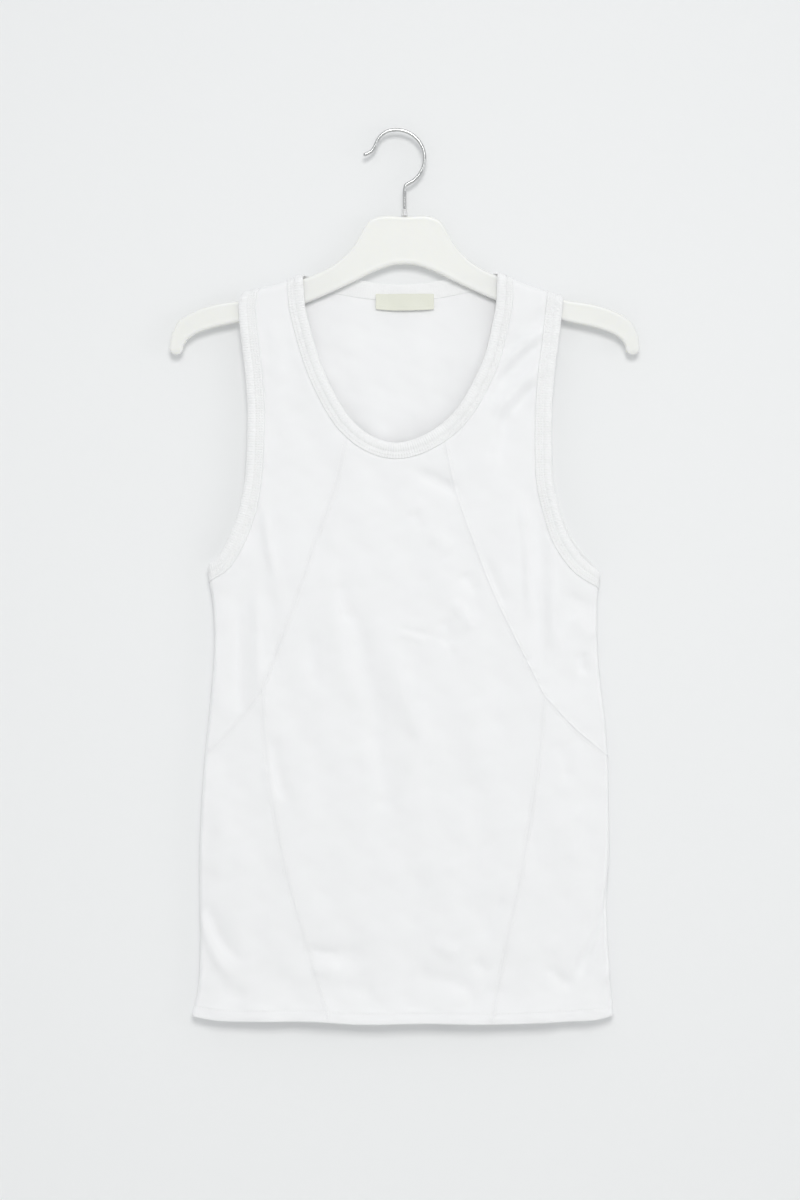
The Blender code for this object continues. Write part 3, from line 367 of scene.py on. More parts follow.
# Section of a binding, once round: share of the way from the sewn to the free edge, height over the cloth's
# face, and how much of the ribs' height shows there.
NECK_SECTION = table(
    "share out rib",
    (0, -1.35, 0), (0, -0.3, 0), (0.004, 0.2, 0.2), (0.03, 0.5, 0.8), (0.075, 0.66, 1), (0.125, 0.7, 1),
    (0.165, 0.34, 0.5), (0.205, 0.7, 1), (0.265, 0.76, 1), (0.325, 0.7, 1), (0.36, 0.34, 0.5),
    (0.392, 0.52, 0.6), (0.43, -0.1, 0.2), (0.47, 0.44, 0.7), (0.53, 0.86, 1), (0.62, 1.12, 1),
    (0.72, 1.2, 1), (0.81, 1.08, 1), (0.89, 0.76, 0.9), (0.955, 0.22, 0.7), (0.99, -0.38, 0.5),
    (1, -0.9, 0.4), (0.98, -1.34, 0.4), (0.93, -1.6, 0.5), (0.82, -1.66, 0.5), (0.6, -1.62, 0.5),
    (0.38, -1.58, 0.5), (0.16, -1.56, 0.4), (0.03, -1.54, 0.1),
)
ARMHOLE_SECTION = table(
    "share out rib",
    (0, -1.35, 0), (0, -0.3, 0), (0.004, 0.18, 0.2), (0.03, 0.46, 0.8), (0.08, 0.62, 1), (0.13, 0.66, 1),
    (0.17, 0.3, 0.6), (0.215, 0.66, 1), (0.28, 0.7, 1), (0.335, 0.32, 0.6), (0.385, 0.62, 1),
    (0.445, 0.66, 0.9), (0.495, 0.1, 0.4), (0.545, 0.6, 0.8), (0.64, 0.92, 1), (0.74, 0.98, 1),
    (0.83, 0.84, 1), (0.91, 0.5, 0.9), (0.965, 0.04, 0.7), (0.993, -0.46, 0.5), (1, -0.9, 0.4),
    (0.98, -1.32, 0.4), (0.93, -1.56, 0.5), (0.82, -1.62, 0.5), (0.6, -1.62, 0.5), (0.38, -1.58, 0.5),
    (0.16, -1.56, 0.4), (0.03, -1.54, 0.1),
)

HANGER_TOP = table(
    "x z",
    (0, HUMP_TOP), (24, -74.8), (31, -77.8), (36.5, -85.5), (42, -96), (50, -106.6), (59, -114.8),
    (69, -121.4), (80, -126.4), (100, -133.6), (142, -148.6), (171, -153.6), (188, -159.6), (202, -168.6),
    (208.4, -180.5),
)
HANGER_BOTTOM = table(
    "x z",
    (193.6, -184.6), (186, -179.4), (174, -175), (145, -168.4), (118, -161.2), (86, -151.2),
    (65.5, -142.4), (45.5, -133), (22.7, -122.2), (10, -118.1), (0, -117.2),
)
# Face of the hanger: how far in from its edge, and height over the middle plane as a share of half its
# thickness.
HANGER_FACE = table(
    "inset height",
    (0, 0), (0.05, 0.36), (0.25, 0.62), (0.6, 0.8), (1.1, 0.91), (1.8, 0.97), (2.7, 0.99), (3.4, 1),
    (4.1, 0.985), (5, 0.975), (7.6, 0.975),
)
HOOK_TIP = table(
    "x z",
    (-36.8, -19.9), (-33, -18.4), (-29.4, -16.2), (-26.8, -12.6), (-25, -8.4), (-22.4, -3.9),
)
HOOK_STEM = table("x z", (1.4, -46.4), (0.2, -50.0), (STEM_X, -56.0), (STEM_X, -61.0))
COLLAR_PROFILE = table(
    "radius z",
    (1.4, -67.9), (1.95, -67.9), (2.15, -68.1), (2.2, -68.8), (2.25, -70.2), (2.4, -71.8), (2.6, -73),
    (2.8, -73.8), (2.8, -74.2), (1.4, -74.2),
)


# ----------------------------------------------------------------------------------------------------------
# Curves on the flat cloth


def smooth_curve(points, steps=CURVE_STEPS):
    """A curve through the points: between two of them a cubic whose end slopes come from the points'
    neighbours."""
    points = np.asarray(points, float)
    knots = lengths_of(points)
    slopes = np.gradient(points, knots, axis=0)
    along = np.concatenate([np.linspace(a, b, steps, endpoint=False) for a, b in zip(knots, knots[1:])])
    along = np.append(along, knots[-1])
    return cubic(knots, points, slopes, along)


def cubic(knots, values, slopes, at):
    """The cubic through values with these slopes, at places between the knots."""
    span = np.clip(np.searchsorted(knots, at, side="right") - 1, 0, len(knots) - 2)
    length = knots[span + 1] - knots[span]
    t = (at - knots[span]) / length
    if values.ndim > 1:
        t, length = t[:, None], length[:, None]
    return (
        (2 * t**3 - 3 * t**2 + 1) * values[span]
        + (t**3 - 2 * t**2 + t) * length * slopes[span]
        + (3 * t**2 - 2 * t**3) * values[span + 1]
        + (t**3 - t**2) * length * slopes[span + 1]
    )


def smooth_value(columns, key, value, at):
    """A value of the table at a place between its rows, on a smooth curve through them."""
    order = np.argsort(columns[key])
    knots, values = columns[key][order], columns[value][order]
    at = np.clip(np.asarray(at, float), knots[0], knots[-1])
    return cubic(knots, values, np.gradient(values, knots), at)


def lengths_of(curve):
    return np.concatenate([[0], np.cumsum(np.linalg.norm(np.diff(curve, axis=0), axis=1))])


def shares_of(curve):
    """Lengths along the curve as shares of the whole."""
    return lengths_of(curve) / lengths_of(curve)[-1]


def at_lengths(curve, lengths):
    """Points of the curve at these lengths along it."""
    along = lengths_of(curve)
    return np.stack([np.interp(lengths, along, curve[:, axis]) for axis in range(curve.shape[1])], 1)


def spaced(curve, count):
    """count + 1 even points along the curve."""
    return at_lengths(curve, np.linspace(0, lengths_of(curve)[-1], count + 1))


def joined(*lines):
    """Curves, or nets, one after the other, each starting where the last one ends."""
    return np.concatenate([*(line[:-1] for line in lines[:-1]), lines[-1]])


def rows_of(columns, x="x", z="z"):
    return np.stack([columns[x], columns[z]], 1)


def normals_of(curve):
    """Unit normals to the left of the way the curve runs."""
    tangent = np.gradient(curve, axis=0)
    tangent /= np.linalg.norm(tangent, axis=1)[:, None]
    return np.stack([-tangent[:, 1], tangent[:, 0]], 1)


def smooth_step(t):
    t = np.clip(t, 0, 1)
    return t * t * (3 - 2 * t)


def distance_to(lines, flat, reach):
    """Distance of each flat point from the nearest piece of the lines, at most reach."""
    found = np.full(flat.shape[:-1], float(reach))
    for line in lines:
        line = spaced(line, max(2, int(lengths_of(line)[-1] / MOST_STEP)))
        for start, end in zip(line[:-1], line[1:]):
            low, high = np.minimum(start, end) - reach, np.maximum(start, end) + reach
            near = np.all((flat > low) & (flat < high), axis=-1)
            if near.any():
                way, offset = end - start, flat[near] - start
                share = np.clip(offset @ way / (way @ way), 0, 1)
                gap = np.linalg.norm(offset - share[:, None] * way, axis=1)
                found[near] = np.minimum(found[near], gap)
    return found


# ----------------------------------------------------------------------------------------------------------
# The hanging shape of the cloth

QUARTER = math.pi / 2
RIDGE_ROLL = QUARTER * RIDGE_RADIUS
SIDE_ROLL = QUARTER * SIDE_RADIUS


def side(which, z):
    return smooth_value(SIDES, "z", which, z)


def ridge(x):
    return smooth_value(RIDGE, "x", "z", x)


def hem(x):
    return smooth_value(HEM, "x", "z", x)


def flat_side(which, z):
    """Flat x of a side seam: the outline, plus what the quarter circle measures more than its radius."""
    return side(which, z) + (SIDE_ROLL - SIDE_RADIUS) * OUT[which]


def flat_ridge(x):
    """Flat z of the ridge over the hanger."""
    return ridge(x) + RIDGE_ROLL - RIDGE_RADIUS


def fold_depth(folds, x, z):
    """Sum of the folds: each is a bell curve across its line, and fades out towards both ends."""
    total = np.zeros_like(x)
    for x0, z0, x1, z1, depth, width in zip(*folds.values()):
        line = np.array([x1 - x0, z1 - z0])
        length = np.linalg.norm(line)
        line /= length
        along = (x - x0) * line[0] + (z - z0) * line[1]
        across = (x - x0) * line[1] - (z - z0) * line[0]
        past_end = np.maximum(0, np.abs(along - length / 2) - length / 4) / (length / 4 + width)
        total += depth * np.exp(-((across / width) ** 2)) * np.clip(1 - past_end**2, 0, 1) ** 2
    return total


def cloth_point(flat, front):
    """Outer face of the cloth. Past the start of a rounded edge, a flat length w becomes the angle w /
    radius of a circle. Between the sides the depth is that of a flat lens, 1 - |x|^power, on top of the
    side radius."""
    x, z = flat[..., 0].copy(), flat[..., 1].copy()
    left, right = side("left", z), side("right", z)
    past_left = left + SIDE_RADIUS - x
    past_right = x - (right - SIDE_RADIUS)
    turn = np.clip(np.maximum(past_left, past_right) / SIDE_RADIUS, 0, QUARTER)
    x = np.where(past_left > 0, left + SIDE_RADIUS - SIDE_RADIUS * np.sin(turn), x)
    x = np.where(past_right > 0, right - SIDE_RADIUS + SIDE_RADIUS * np.sin(turn), x)
    start = ridge(x) - RIDGE_RADIUS
    roll = np.clip((z - start) / RIDGE_RADIUS, 0, QUARTER)
    z = np.where(z > start, start + RIDGE_RADIUS * np.sin(roll), z)
    across = np.clip(np.abs(2 * x - left - right) / (right - left), 0, 1)
    depth = smooth_value(DEPTH, "z", "front" if front else "back", z)
    folds = fold_depth(FRONT_FOLDS if front else BACK_FOLDS, x, z) * (1 - across**FOLD_FADE)
    lens = (depth - SIDE_RADIUS) * (1 - across**LENS_POWER)
    y = (SIDE_RADIUS * np.cos(turn) + lens + folds) * np.cos(roll)
    return np.stack([x, -y if front else y, z], -1)


def cloth_normal(flat, front):
    """Unit normal of the cloth's outer face, pointing out, from places a little to either side. Close to a
    rolled edge both are taken just inside it."""
    margin = PROBE_MARGIN
    inside = flat.copy()
    left, right = flat_side("left", flat[..., 1]) + margin, flat_side("right", flat[..., 1]) - margin
    inside[..., 0] = np.clip(flat[..., 0], left, right)
    inside[..., 1] = np.minimum(flat[..., 1], flat_ridge(inside[..., 0]) - margin)
    across = cloth_point(inside + (PROBE, 0), front) - cloth_point(inside - (PROBE, 0), front)
    up = cloth_point(inside + (0, PROBE), front) - cloth_point(inside - (0, PROBE), front)
    normal = np.cross(across, up)
    length = np.linalg.norm(normal, axis=-1)[..., None]
    return normal / length if front else -normal / length


def wave_height(rows, flat):
    """Sum of sine waves, each with its length, the way it runs and its height."""
    total = np.zeros(flat.shape[:-1])
    for length, angle, phase, height in zip(*rows.values()):
        way = (math.cos(math.radians(angle)), math.sin(math.radians(angle)))
        total += height * np.sin(2 * math.pi * (flat @ np.array(way)) / length + phase)
    return total


def crease_height(rows, flat):
    """Sum of the creases: a bell curve across a bent line, highest half way along and nothing at both
    ends."""
    total = np.zeros(flat.shape[:-1])
    for x0, z0, x1, z1, bend, height, width in zip(*rows.values()):
        line = np.array([x1 - x0, z1 - z0])
        length = np.linalg.norm(line)
        offset = flat - (x0, z0)
        along = offset @ line / length**2
        across = (offset[..., 0] * line[1] - offset[..., 1] * line[0]) / length
        across -= bend * 4 * along * (1 - along)
        total += height * np.exp(-((across / width) ** 2)) * smooth_step(2 - 2 * np.abs(2 * along - 1))
    return total


def soft_height(flat, front):
    """Creases and waves of the cloth, none at the ridge and the side seams, where front and back meet, and
    hardly any troughs where the cloth lies over the hanger."""
    x, z = flat[..., 0], flat[..., 1]
    to_side = np.minimum(x - flat_side("left", z), flat_side("right", z) - x)
    below = flat_ridge(x) - z
    shifted = flat if front else flat * (-1, 1) + BACK_WAVES
    soft = wave_height(WAVES, shifted) + crease_height(FRONT_CREASES if front else BACK_CREASES, flat)
    fade = smooth_step(below / np.where(soft < 0, 2 * RIDGE_FADE, RIDGE_FADE))
    return soft * smooth_step(to_side / SIDE_FADE) * fade


def face_height(flat, front, lift=0.0):
    """Relief of the sewing on the outer face: ridges and stitched troughs beside the seams, the dip at a
    binding's edge, the rounded hem with its stitched trough, and the puckers along all of them. lift is how
    much higher this panel stands beside its long seam than the next one."""
    seams = distance_to(PATTERN.seams if front else [], flat, SEWING_REACH)
    edges = distance_to(PATTERN.edges[front], flat, SEWING_REACH)
    above = flat[..., 1] - hem(flat[..., 0])
    uneven = wave_height(PUCKERS, flat)
    height = smooth_value(SEAM_PROFILE, "away", "out", seams) * (1 + SEAM_UNEVEN * uneven)
    height += lift * np.exp(-((seams / SEAM_LIFT_REACH) ** 2)) * (1 + LIFT_UNEVEN * uneven)
    height += smooth_value(EDGE_PROFILE, "away", "out", edges)
    height += smooth_value(HEM_PROFILE, "above", "out", above) * (1 + HEM_UNEVEN * uneven)
    place, fade, share = HEM_PUCKERS
    at_hem = share * np.exp(-np.abs(above - place) / fade)
    at_edge = EDGE_PUCKERS * np.exp(-edges / PUCKER_FADE)
    height += PUCKER_HEIGHT * uneven * (np.exp(-seams / PUCKER_FADE) + at_hem + at_edge)
    # The second value is each point's distance to the nearest seam, sewn edge or hem stitching, which places
    # the painted seam shade.
    return height, np.minimum(np.minimum(seams, edges), np.abs(above - HEM_STITCHES))


def fill_panel(left, right, bottom, top):
    """A net of flat points between four edges, left and right running up, bottom and top running right: the
    sum of the two ruled nets less the one between the corners."""
    v = (shares_of(left) + shares_of(right))[:, None, None] / 2
    u = (shares_of(bottom) + shares_of(top))[None, :, None] / 2
    sides = (1 - u) * left[:, None] + u * right[:, None]
    ends = (1 - v) * bottom[None] + v * top[None]
    twist = (1 - v) * ((1 - u) * left[0] + u * right[0]) + v * ((1 - u) * left[-1] + u * right[-1])
    return sides + ends - twist


def border_of(rows, columns):
    """Indices once round a net, from its lower left corner along the bottom, up the right side and back."""
    index = numbered(rows, columns)
    return np.concatenate([index[0], index[1:, -1], index[-1, -2::-1], index[-2:0:-1, 0]])


def draw_in(net, gap, hem_gap):
    """The net with its border moved inwards by gap, square to every edge, and its bottom row by hem_gap."""
    rows, columns = net.shape[:2]
    border = border_of(rows, columns)
    flat = net.reshape(-1, 2).copy()
    ring = flat[border]
    way = np.roll(ring, -1, axis=0) - ring
    way /= np.linalg.norm(way, axis=1)[:, None]
    ahead = np.stack([-way[:, 1], way[:, 0]], 1)
    gap_ahead = np.full(len(border), gap)
    gap_ahead[: columns - 1] = hem_gap
    behind, gap_behind = np.roll(ahead, 1, axis=0), np.roll(gap_ahead, 1)
    turn = ahead[:, 0] * behind[:, 1] - ahead[:, 1] * behind[:, 0]
    corner = np.abs(turn) > CORNER_SINE
    turn = np.where(corner, turn, 1.0)
    mitre = np.stack(
        [
            (gap_ahead * behind[:, 1] - gap_behind * ahead[:, 1]) / turn,
            (ahead[:, 0] * gap_behind - behind[:, 0] * gap_ahead) / turn,
        ],
        1,
    )
    plain = (ahead * gap_ahead[:, None] + behind * gap_behind[:, None]) / 2
    flat[border] = ring + np.where(corner[:, None], mitre, plain)
    return flat.reshape(net.shape)


def refine(net, start, end):
    """The net with its first and last cells up every column replaced by finer ones at these distances from
    the ends, which shrink where the cells do."""
    along = np.stack([lengths_of(net[:, column]) for column in range(net.shape[1])], 1)
    total, mean = along[-1], along.mean(1)
    first = int(np.searchsorted(mean, start[-1] * EDGE_STRIP))
    last = len(net) - 1 - int(np.searchsorted(mean[-1] - mean[::-1], end[-1] * EDGE_STRIP))
    made = []
    for column in range(net.shape[1]):
        whole, low, high = total[column], along[first, column], total[column] - along[last, column]
        near = np.array(start) * min(1, low / (start[-1] * STRIP_ROOM))
        far = whole - np.array(end)[::-1] * min(1, high / (end[-1] * STRIP_ROOM))
        places = np.concatenate([[0.0], near, along[first : last + 1, column], far, [whole]])
        made.append(at_lengths(net[:, column], places))
    return np.stack(made, 1)


def turned(net):
    return net.transpose(1, 0, 2)


def side_curve(which, low, high):
    """Side seam between two heights, from the lower to the higher."""
    z = np.linspace(low, high, 2 * CURVE_STEPS)
    return np.stack([flat_side(which, z), z], 1)


def on_ridge(x):
    return x, flat_ridge(x)


def armhole_edge(which, front):
    """Free edge of an armhole binding, from the ridge over the hanger down to the side seam."""
    lowest = ARMHOLE_ENDS[which]
    rows = rows_of(ARMHOLES, which if front else "back_" + which)
    start = on_ridge(RIDGE["x"][1 if which == "left" else -2])
    return smooth_curve([start, *rows, (flat_side(which, lowest), lowest)])


def neck_edge(*points):
    """Sewn edge of the neck binding through these points, from the left ridge to the right one."""
    return smooth_curve([on_ridge(NECK_AT_RIDGE["left"]), *points, on_ridge(NECK_AT_RIDGE["right"])])


def across_binding(edge, width, end_lines, reach):
    """The other edge of a binding: width away along the normal. At each end the way turns, over the length
    reach, into that of the line that the binding ends on."""
    normal = normals_of(edge) * np.sign(width)
    along = lengths_of(edge)
    for distance, line in zip((along, along[-1] - along), end_lines):
        share = smooth_step(distance / reach)[:, None]
        normal = share * normal + (1 - share) * np.asarray(line)
        normal /= np.linalg.norm(normal, axis=1)[:, None]
    return edge + normal * abs(width)


def split_at(curve, point):
    """Two parts of a curve, cut at its place nearest to the point."""
    nearest = int(np.argmin(np.linalg.norm(curve - np.asarray(point), axis=1)))
    return curve[: nearest + 1], curve[nearest:]


def ridge_line(x, towards):
    """Unit way along the flat ridge at x, towards the right (+1) or the left (-1)."""
    slope = float(flat_ridge(x + 1) - flat_ridge(x - 1)) / 2
    return np.array([1.0, slope]) * towards / math.hypot(1, slope)


def side_line(which, z):
    """Unit way down the flat side seam, from a place just below the armhole's end."""
    below = z - ARMHOLE_BINDING_WIDTH
    way = np.array([float(flat_side(which, below) - flat_side(which, z)), below - z])
    return way / np.linalg.norm(way)


def curve_from(start, columns):
    """Smooth curve of a front seam, from a given start through the table's other rows."""
    points = rows_of(columns)
    points[0] = start
    return smooth_curve(points)


def hem_between(start, end, count):
    x = np.linspace(start[0], end[0], count + 1)
    line = np.stack([x, hem(x)], 1)
    line[0], line[-1] = start, end
    return line


def ridge_between(start, end, count):
    x = np.linspace(start[0], end[0], count + 1)
    return np.stack([x, flat_ridge(x)], 1)


def hem_corner(which):
    """Height of the hem at a side seam."""
    return float(hem(side(which, hem(0))))


def flat_area(ring):
    """Area inside a closed flat line: half the sum of the cross products of its points."""
    x, z = ring[:, 0], ring[:, 1]
    return abs(np.dot(x, np.roll(z, -1)) - np.dot(z, np.roll(x, -1))) / 2


class Pattern:
    """Every edge of the cut pieces: neck lines, armhole bindings and front seams, as fine curves."""

    def __init__(self):
        whole = neck_edge(*rows_of(NECK, "left"), NECK_LOWEST, *rows_of(NECK, "right")[::-1])
        left, rest = split_at(whole, rows_of(DIAGONAL["left"])[0])
        middle, right = split_at(rest, rows_of(DIAGONAL["right"])[0])
        back = neck_edge(*rows_of(BACK_NECK))[::-1]
        self.neck = {"left": left, "middle": middle, "right": right, "front": whole, "back": back}
        ends = tuple(ridge_line(NECK_AT_RIDGE[which], -out) for which, out in OUT.items())
        free_front = across_binding(whole, NECK_BINDING_WIDTH, ends, NECK_TURN)
        free_back = across_binding(back, -BACK_NECK_BINDING_WIDTH, ends[::-1], BACK_NECK_TURN)
        for free in (free_front, free_back):
            free[[0, -1], 1] = flat_ridge(free[[0, -1], 0])
        free_back[0], free_back[-1] = free_front[-1], free_front[0]
        self.neck_free = {True: free_front, False: free_back}
        self.free, self.sewn = {}, {}
        for which, out in OUT.items():
            for front in (True, False):
                edge = armhole_edge(which, front)
                lines = (ridge_line(edge[0, 0], -out), side_line(which, edge[-1, 1]))
                sewn = across_binding(edge, -ARMHOLE_BINDING_WIDTH * out, lines, ARMHOLE_TURN)
                sewn[0, 1] = flat_ridge(sewn[0, 0])
                sewn[-1, 0] = flat_side(which, sewn[-1, 1])
                self.free[which, front], self.sewn[which, front] = edge, sewn
        self.diagonal, self.tail, self.lower = {}, {}, {}
        for which, start in (("left", left[-1]), ("right", right[0])):
            self.diagonal[which] = curve_from(start, DIAGONAL[which])
            points = rows_of(TAIL[which])
            points[-1, 0] = flat_side(which, points[-1, 1])
            self.tail[which] = smooth_curve(points)
            x = LOWER[which]["x"][0]
            self.lower[which] = curve_from((x, float(hem(x))), LOWER[which])
        self.long_seams = {which: joined(self.diagonal[which], self.tail[which]) for which in OUT}
        self.seams = [*self.long_seams.values(), *self.lower.values()]
        self.edges = {
            front: [neck, self.sewn["left", front], self.sewn["right", front]]
            for front, neck in ((True, whole), (False, back))
        }


PATTERN = Pattern()


def cells(curve):
    """How many cells of the usual size fit along a curve."""
    return max(8, round(lengths_of(curve)[-1] / CELL))


def fill_side(which, outer, inner, bottom, top):
    """fill_panel for a panel given from its outer edge inwards, on either side of the body."""
    if which == "right":
        return fill_panel(inner, outer, bottom[::-1], top[::-1])
    return fill_panel(outer, inner, bottom, top)


def side_nets(which):
    """Nets of the shoulder and the side panel on one side, and the two seams that the middle panel shares
    with them: the lower one and the diagonal one, from the hem up."""
    neck = PATTERN.neck[which][:: -OUT[which]]  # from the ridge down
    upper, lower = split_at(PATTERN.diagonal[which], rows_of(DIAGONAL[which])[NET_TURN_ROW])
    tail, sewn, low = PATTERN.tail[which][::-1], PATTERN.sewn[which, True][::-1], PATTERN.lower[which]
    shoulder_side = side_curve(which, tail[0, 1], sewn[0, 1])
    outer = side_curve(which, hem_corner(which), tail[0, 1])
    columns = cells(tail) + SIDE_CELLS_MORE
    side_rows, upper_rows, neck_rows = cells(shoulder_side), cells(upper), cells(neck)
    upper, lower, neck = spaced(upper, upper_rows), spaced(lower, side_rows), spaced(neck, neck_rows)
    tail = spaced(tail, columns)
    turn = spaced(np.array([sewn[0], lower[0]]), columns)
    sewn = spaced(sewn, upper_rows + neck_rows)
    ridge_part = ridge_between(sewn[-1], neck[0], columns)
    below = fill_side(which, spaced(shoulder_side, side_rows), lower[::-1], tail, turn)
    above = fill_side(which, sewn, joined(upper[::-1], neck[::-1]), turn, ridge_part)
    rows = cells(low)
    low, outer = spaced(low, rows), spaced(outer, rows)
    side_net = fill_side(which, outer, low, hem_between(outer[0], low[0], columns), tail)
    return joined(below, above), side_net, (low, joined(upper, lower)[::-1])


def centre_net(seams):
    """Net of the middle panel between the seams that both sides share with it."""
    rows = max(len(low) + cells(diagonal) for low, diagonal in seams) - 1
    left, right = (joined(low, spaced(diagonal, rows - len(low) + 1)) for low, diagonal in seams)
    columns = cells(np.array([rows_of(DIAGONAL[which])[NET_TURN_ROW] for which in OUT]))
    top = spaced(PATTERN.neck["middle"], columns)
    return fill_panel(left, right, hem_between(left[0], right[0], columns), top)


def back_net():
    """Net of the back with both straps."""
    sewn = [PATTERN.sewn[which, False][::-1] for which in OUT]
    lows = [side_curve(which, hem_corner(which), line[0, 1]) for which, line in zip(OUT, sewn)]
    low_rows, high_rows = max(map(cells, lows)), max(map(cells, sewn))
    left, right = (joined(spaced(a, low_rows), spaced(b, high_rows)) for a, b in zip(lows, sewn))
    neck = PATTERN.neck["back"][::-1]
    neck = spaced(neck, cells(neck))
    strap = round(np.linalg.norm(left[-1] - neck[0]) / CELL) + 1
    top = joined(ridge_between(left[-1], neck[0], strap), neck, ridge_between(neck[-1], right[-1], strap))
    bottom = hem_between(left[0], right[0], 4 * CURVE_STEPS)
    bottom = at_lengths(bottom, shares_of(top) * lengths_of(bottom)[-1])
    return fill_panel(left, right, bottom, top)


# ----------------------------------------------------------------------------------------------------------
# Meshes


def make_piece(name, points, faces, finish, slot, nodes, uv=None, near_seam=None):
    """A piece of the object from points in millimetres and one or more arrays of faces. It rides on the
    object and stands for its CAD nodes."""
    mesh = bpy.data.meshes.new(name)
    corners = np.concatenate([part.ravel() for part in faces]).astype(np.int32)
    sizes = np.concatenate([np.full(len(part), part.shape[1]) for part in faces])
    starts = np.concatenate([[0], np.cumsum(sizes)[:-1]]).astype(np.int32)
    mesh.vertices.add(len(points))
    mesh.vertices.foreach_set("co", (np.asarray(points) * MILLIMETRE).astype(np.float32).ravel())
    mesh.loops.add(len(corners))
    mesh.loops.foreach_set("vertex_index", corners)
    mesh.polygons.add(len(sizes))
    mesh.polygons.foreach_set("loop_start", starts)
    if uv is not None:
        layer = mesh.uv_layers.new(name="cloth")
        layer.data.foreach_set("uv", (uv[corners] * MILLIMETRE).astype(np.float32).ravel())
    # Share of painted shade at each point, for the darker line along seams and sewn edges
    if near_seam is not None:
        shares = mesh.attributes.new("near_seam", "FLOAT", "POINT")
        shares.data.foreach_set("value", near_seam.astype(np.float32))
    mesh.update(calc_edges=True)
    mesh.validate()
    mesh.shade_smooth()
    mesh.materials.append(finish)
    piece = bpy.data.objects.new(name, mesh)
    bpy.context.scene.collection.objects.link(piece)
    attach(piece, BODY)
    if nodes:
        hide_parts(*nodes)
    return piece


def numbered(*shape):
    """The numbers of points that lie in this order."""
    return np.arange(math.prod(shape)).reshape(shape)


def net_faces(index, *closed):
    """Four-sided faces between neighbours in a net of point numbers, also from its end back to its start
    along the closed axes."""
    for axis in closed:
        index = np.concatenate([index, index.take([0], axis)], axis)
    return np.stack([index[:-1, :-1], index[:-1, 1:], index[1:, 1:], index[1:, :-1]], -1).reshape(-1, 4)


def facing_out(points, walls, *ends):
    """The walls and the end faces, turned round where the walls' volume is negative: the sum of their cones
    to the origin."""
    a, b, c, d = (points[walls[:, k]] for k in range(4))
    way = -1 if (a * (np.cross(b, c) + np.cross(c, d))).sum() < 0 else 1
    return [part[:, ::way] for part in (walls, *ends)]


def tube(sections):
    """Points and faces of a row of closed sections, with a face at both ends."""
    index, points = numbered(*sections.shape[:2]), sections.reshape(-1, 3)
    return points, facing_out(points, net_faces(index, 1), np.stack([index[0, ::-1], index[-1]]))


def loop(sections):
    """Points and faces of a closed row of closed sections."""
    points = sections.reshape(-1, 3)
    return points, facing_out(points, net_faces(numbered(*sections.shape[:2]), 0, 1)[:, [0, 3, 2, 1]])


def shell(outer, inner, bulge, front):
    """Points and faces of a closed wall between two grids. Its rim is half an ellipse, half the wall high
    and bulge wide. Also gives, for each point, which grid point it belongs to."""
    rows, columns = outer.shape[:2]
    count = rows * columns
    border = border_of(rows, columns)
    top, low = outer.reshape(-1, 3)[border], inner.reshape(-1, 3)[border]
    middle, half = (top + low) / 2, (top - low) / 2
    way = np.roll(middle, -1, axis=0) - np.roll(middle, 1, axis=0)
    outward = np.cross(way, half) * (1 if front else -1)
    outward /= np.linalg.norm(outward, axis=1)[:, None]
    angles = np.linspace(QUARTER, -QUARTER, RIM_STEPS + 2)[1:-1]
    loops = [middle + half * math.sin(a) + outward * bulge[:, None] * math.cos(a) for a in angles]
    points = np.concatenate([outer.reshape(-1, 3), inner.reshape(-1, 3), *loops])
    rings = [border] + [2 * count + k * len(border) + np.arange(len(border)) for k in range(RIM_STEPS)]
    rings.append(border + count)
    rim = [np.stack([a, b, np.roll(b, -1), np.roll(a, -1)], 1) for a, b in zip(rings, rings[1:])]
    grid = net_faces(numbered(rows, columns))
    faces = np.concatenate([grid, grid[:, ::-1] + count, *rim])
    source = np.concatenate([np.arange(count), np.arange(count), np.tile(border, RIM_STEPS)])
    return points, faces if front else faces[:, ::-1], source


def make_panel(name, net, front, finish, hemmed=True):
    """A panel of jersey from its flat net: the outer face with its creases and sewing, the inner face one
    wall's thickness behind it, and a rounded rim."""
    net = draw_in(net, TOUCH + SEAM_RIM, HEM_RIM if hemmed else TOUCH + SEAM_RIM)
    net = refine(net, HEM_STEPS if hemmed else SEAM_STEPS, SEAM_STEPS)
    net = turned(refine(turned(net), SIDE_STEPS, SIDE_STEPS))
    base, normal = cloth_point(net, front), cloth_normal(net, front)
    soft = soft_height(net, front)
    relief, away = face_height(net, front, SEAM_LIFT.get(name, 0.0))
    above = net[..., 1] - hem(net[..., 0])
    thickness = CLOTH + HEM_EXTRA * smooth_step((HEM_HEIGHT + HEM_STEP / 2 - above) / HEM_STEP)
    outer = base + normal * (soft + relief)[..., None]
    inner = base + normal * (soft - thickness)[..., None]
    rows, columns = net.shape[:2]
    bulge = np.full(2 * (rows + columns) - 4, SEAM_RIM)
    if hemmed:
        bulge[:columns] = HEM_RIM
    points, faces, source = shell(outer, inner, bulge, front)
    uv = net.reshape(-1, 2)[source]
    # Painted shade along the seams, sewn edges and hem stitching, on the outer face and rim only
    near = np.exp(-away / SEAM_SHADE_WIDTH).reshape(-1)[source]
    near[rows * columns : 2 * rows * columns] = 0
    piece = make_piece(name + "_cloth", points, [faces], finish, "jersey", [name], uv, near)
    ring = net.reshape(-1, 2)[border_of(rows, columns)] * MILLIMETRE
    size = ring.max(0) - ring.min(0)
    return piece, dict(flat=(float(size[0]), float(size[1])), area=float(flat_area(ring)))


def from_sewn(sewn, free, away):
    """The line on a binding at this distance from its sewn edge."""
    return sewn + (free - sewn) / np.linalg.norm(free - sewn, axis=1)[:, None] * away


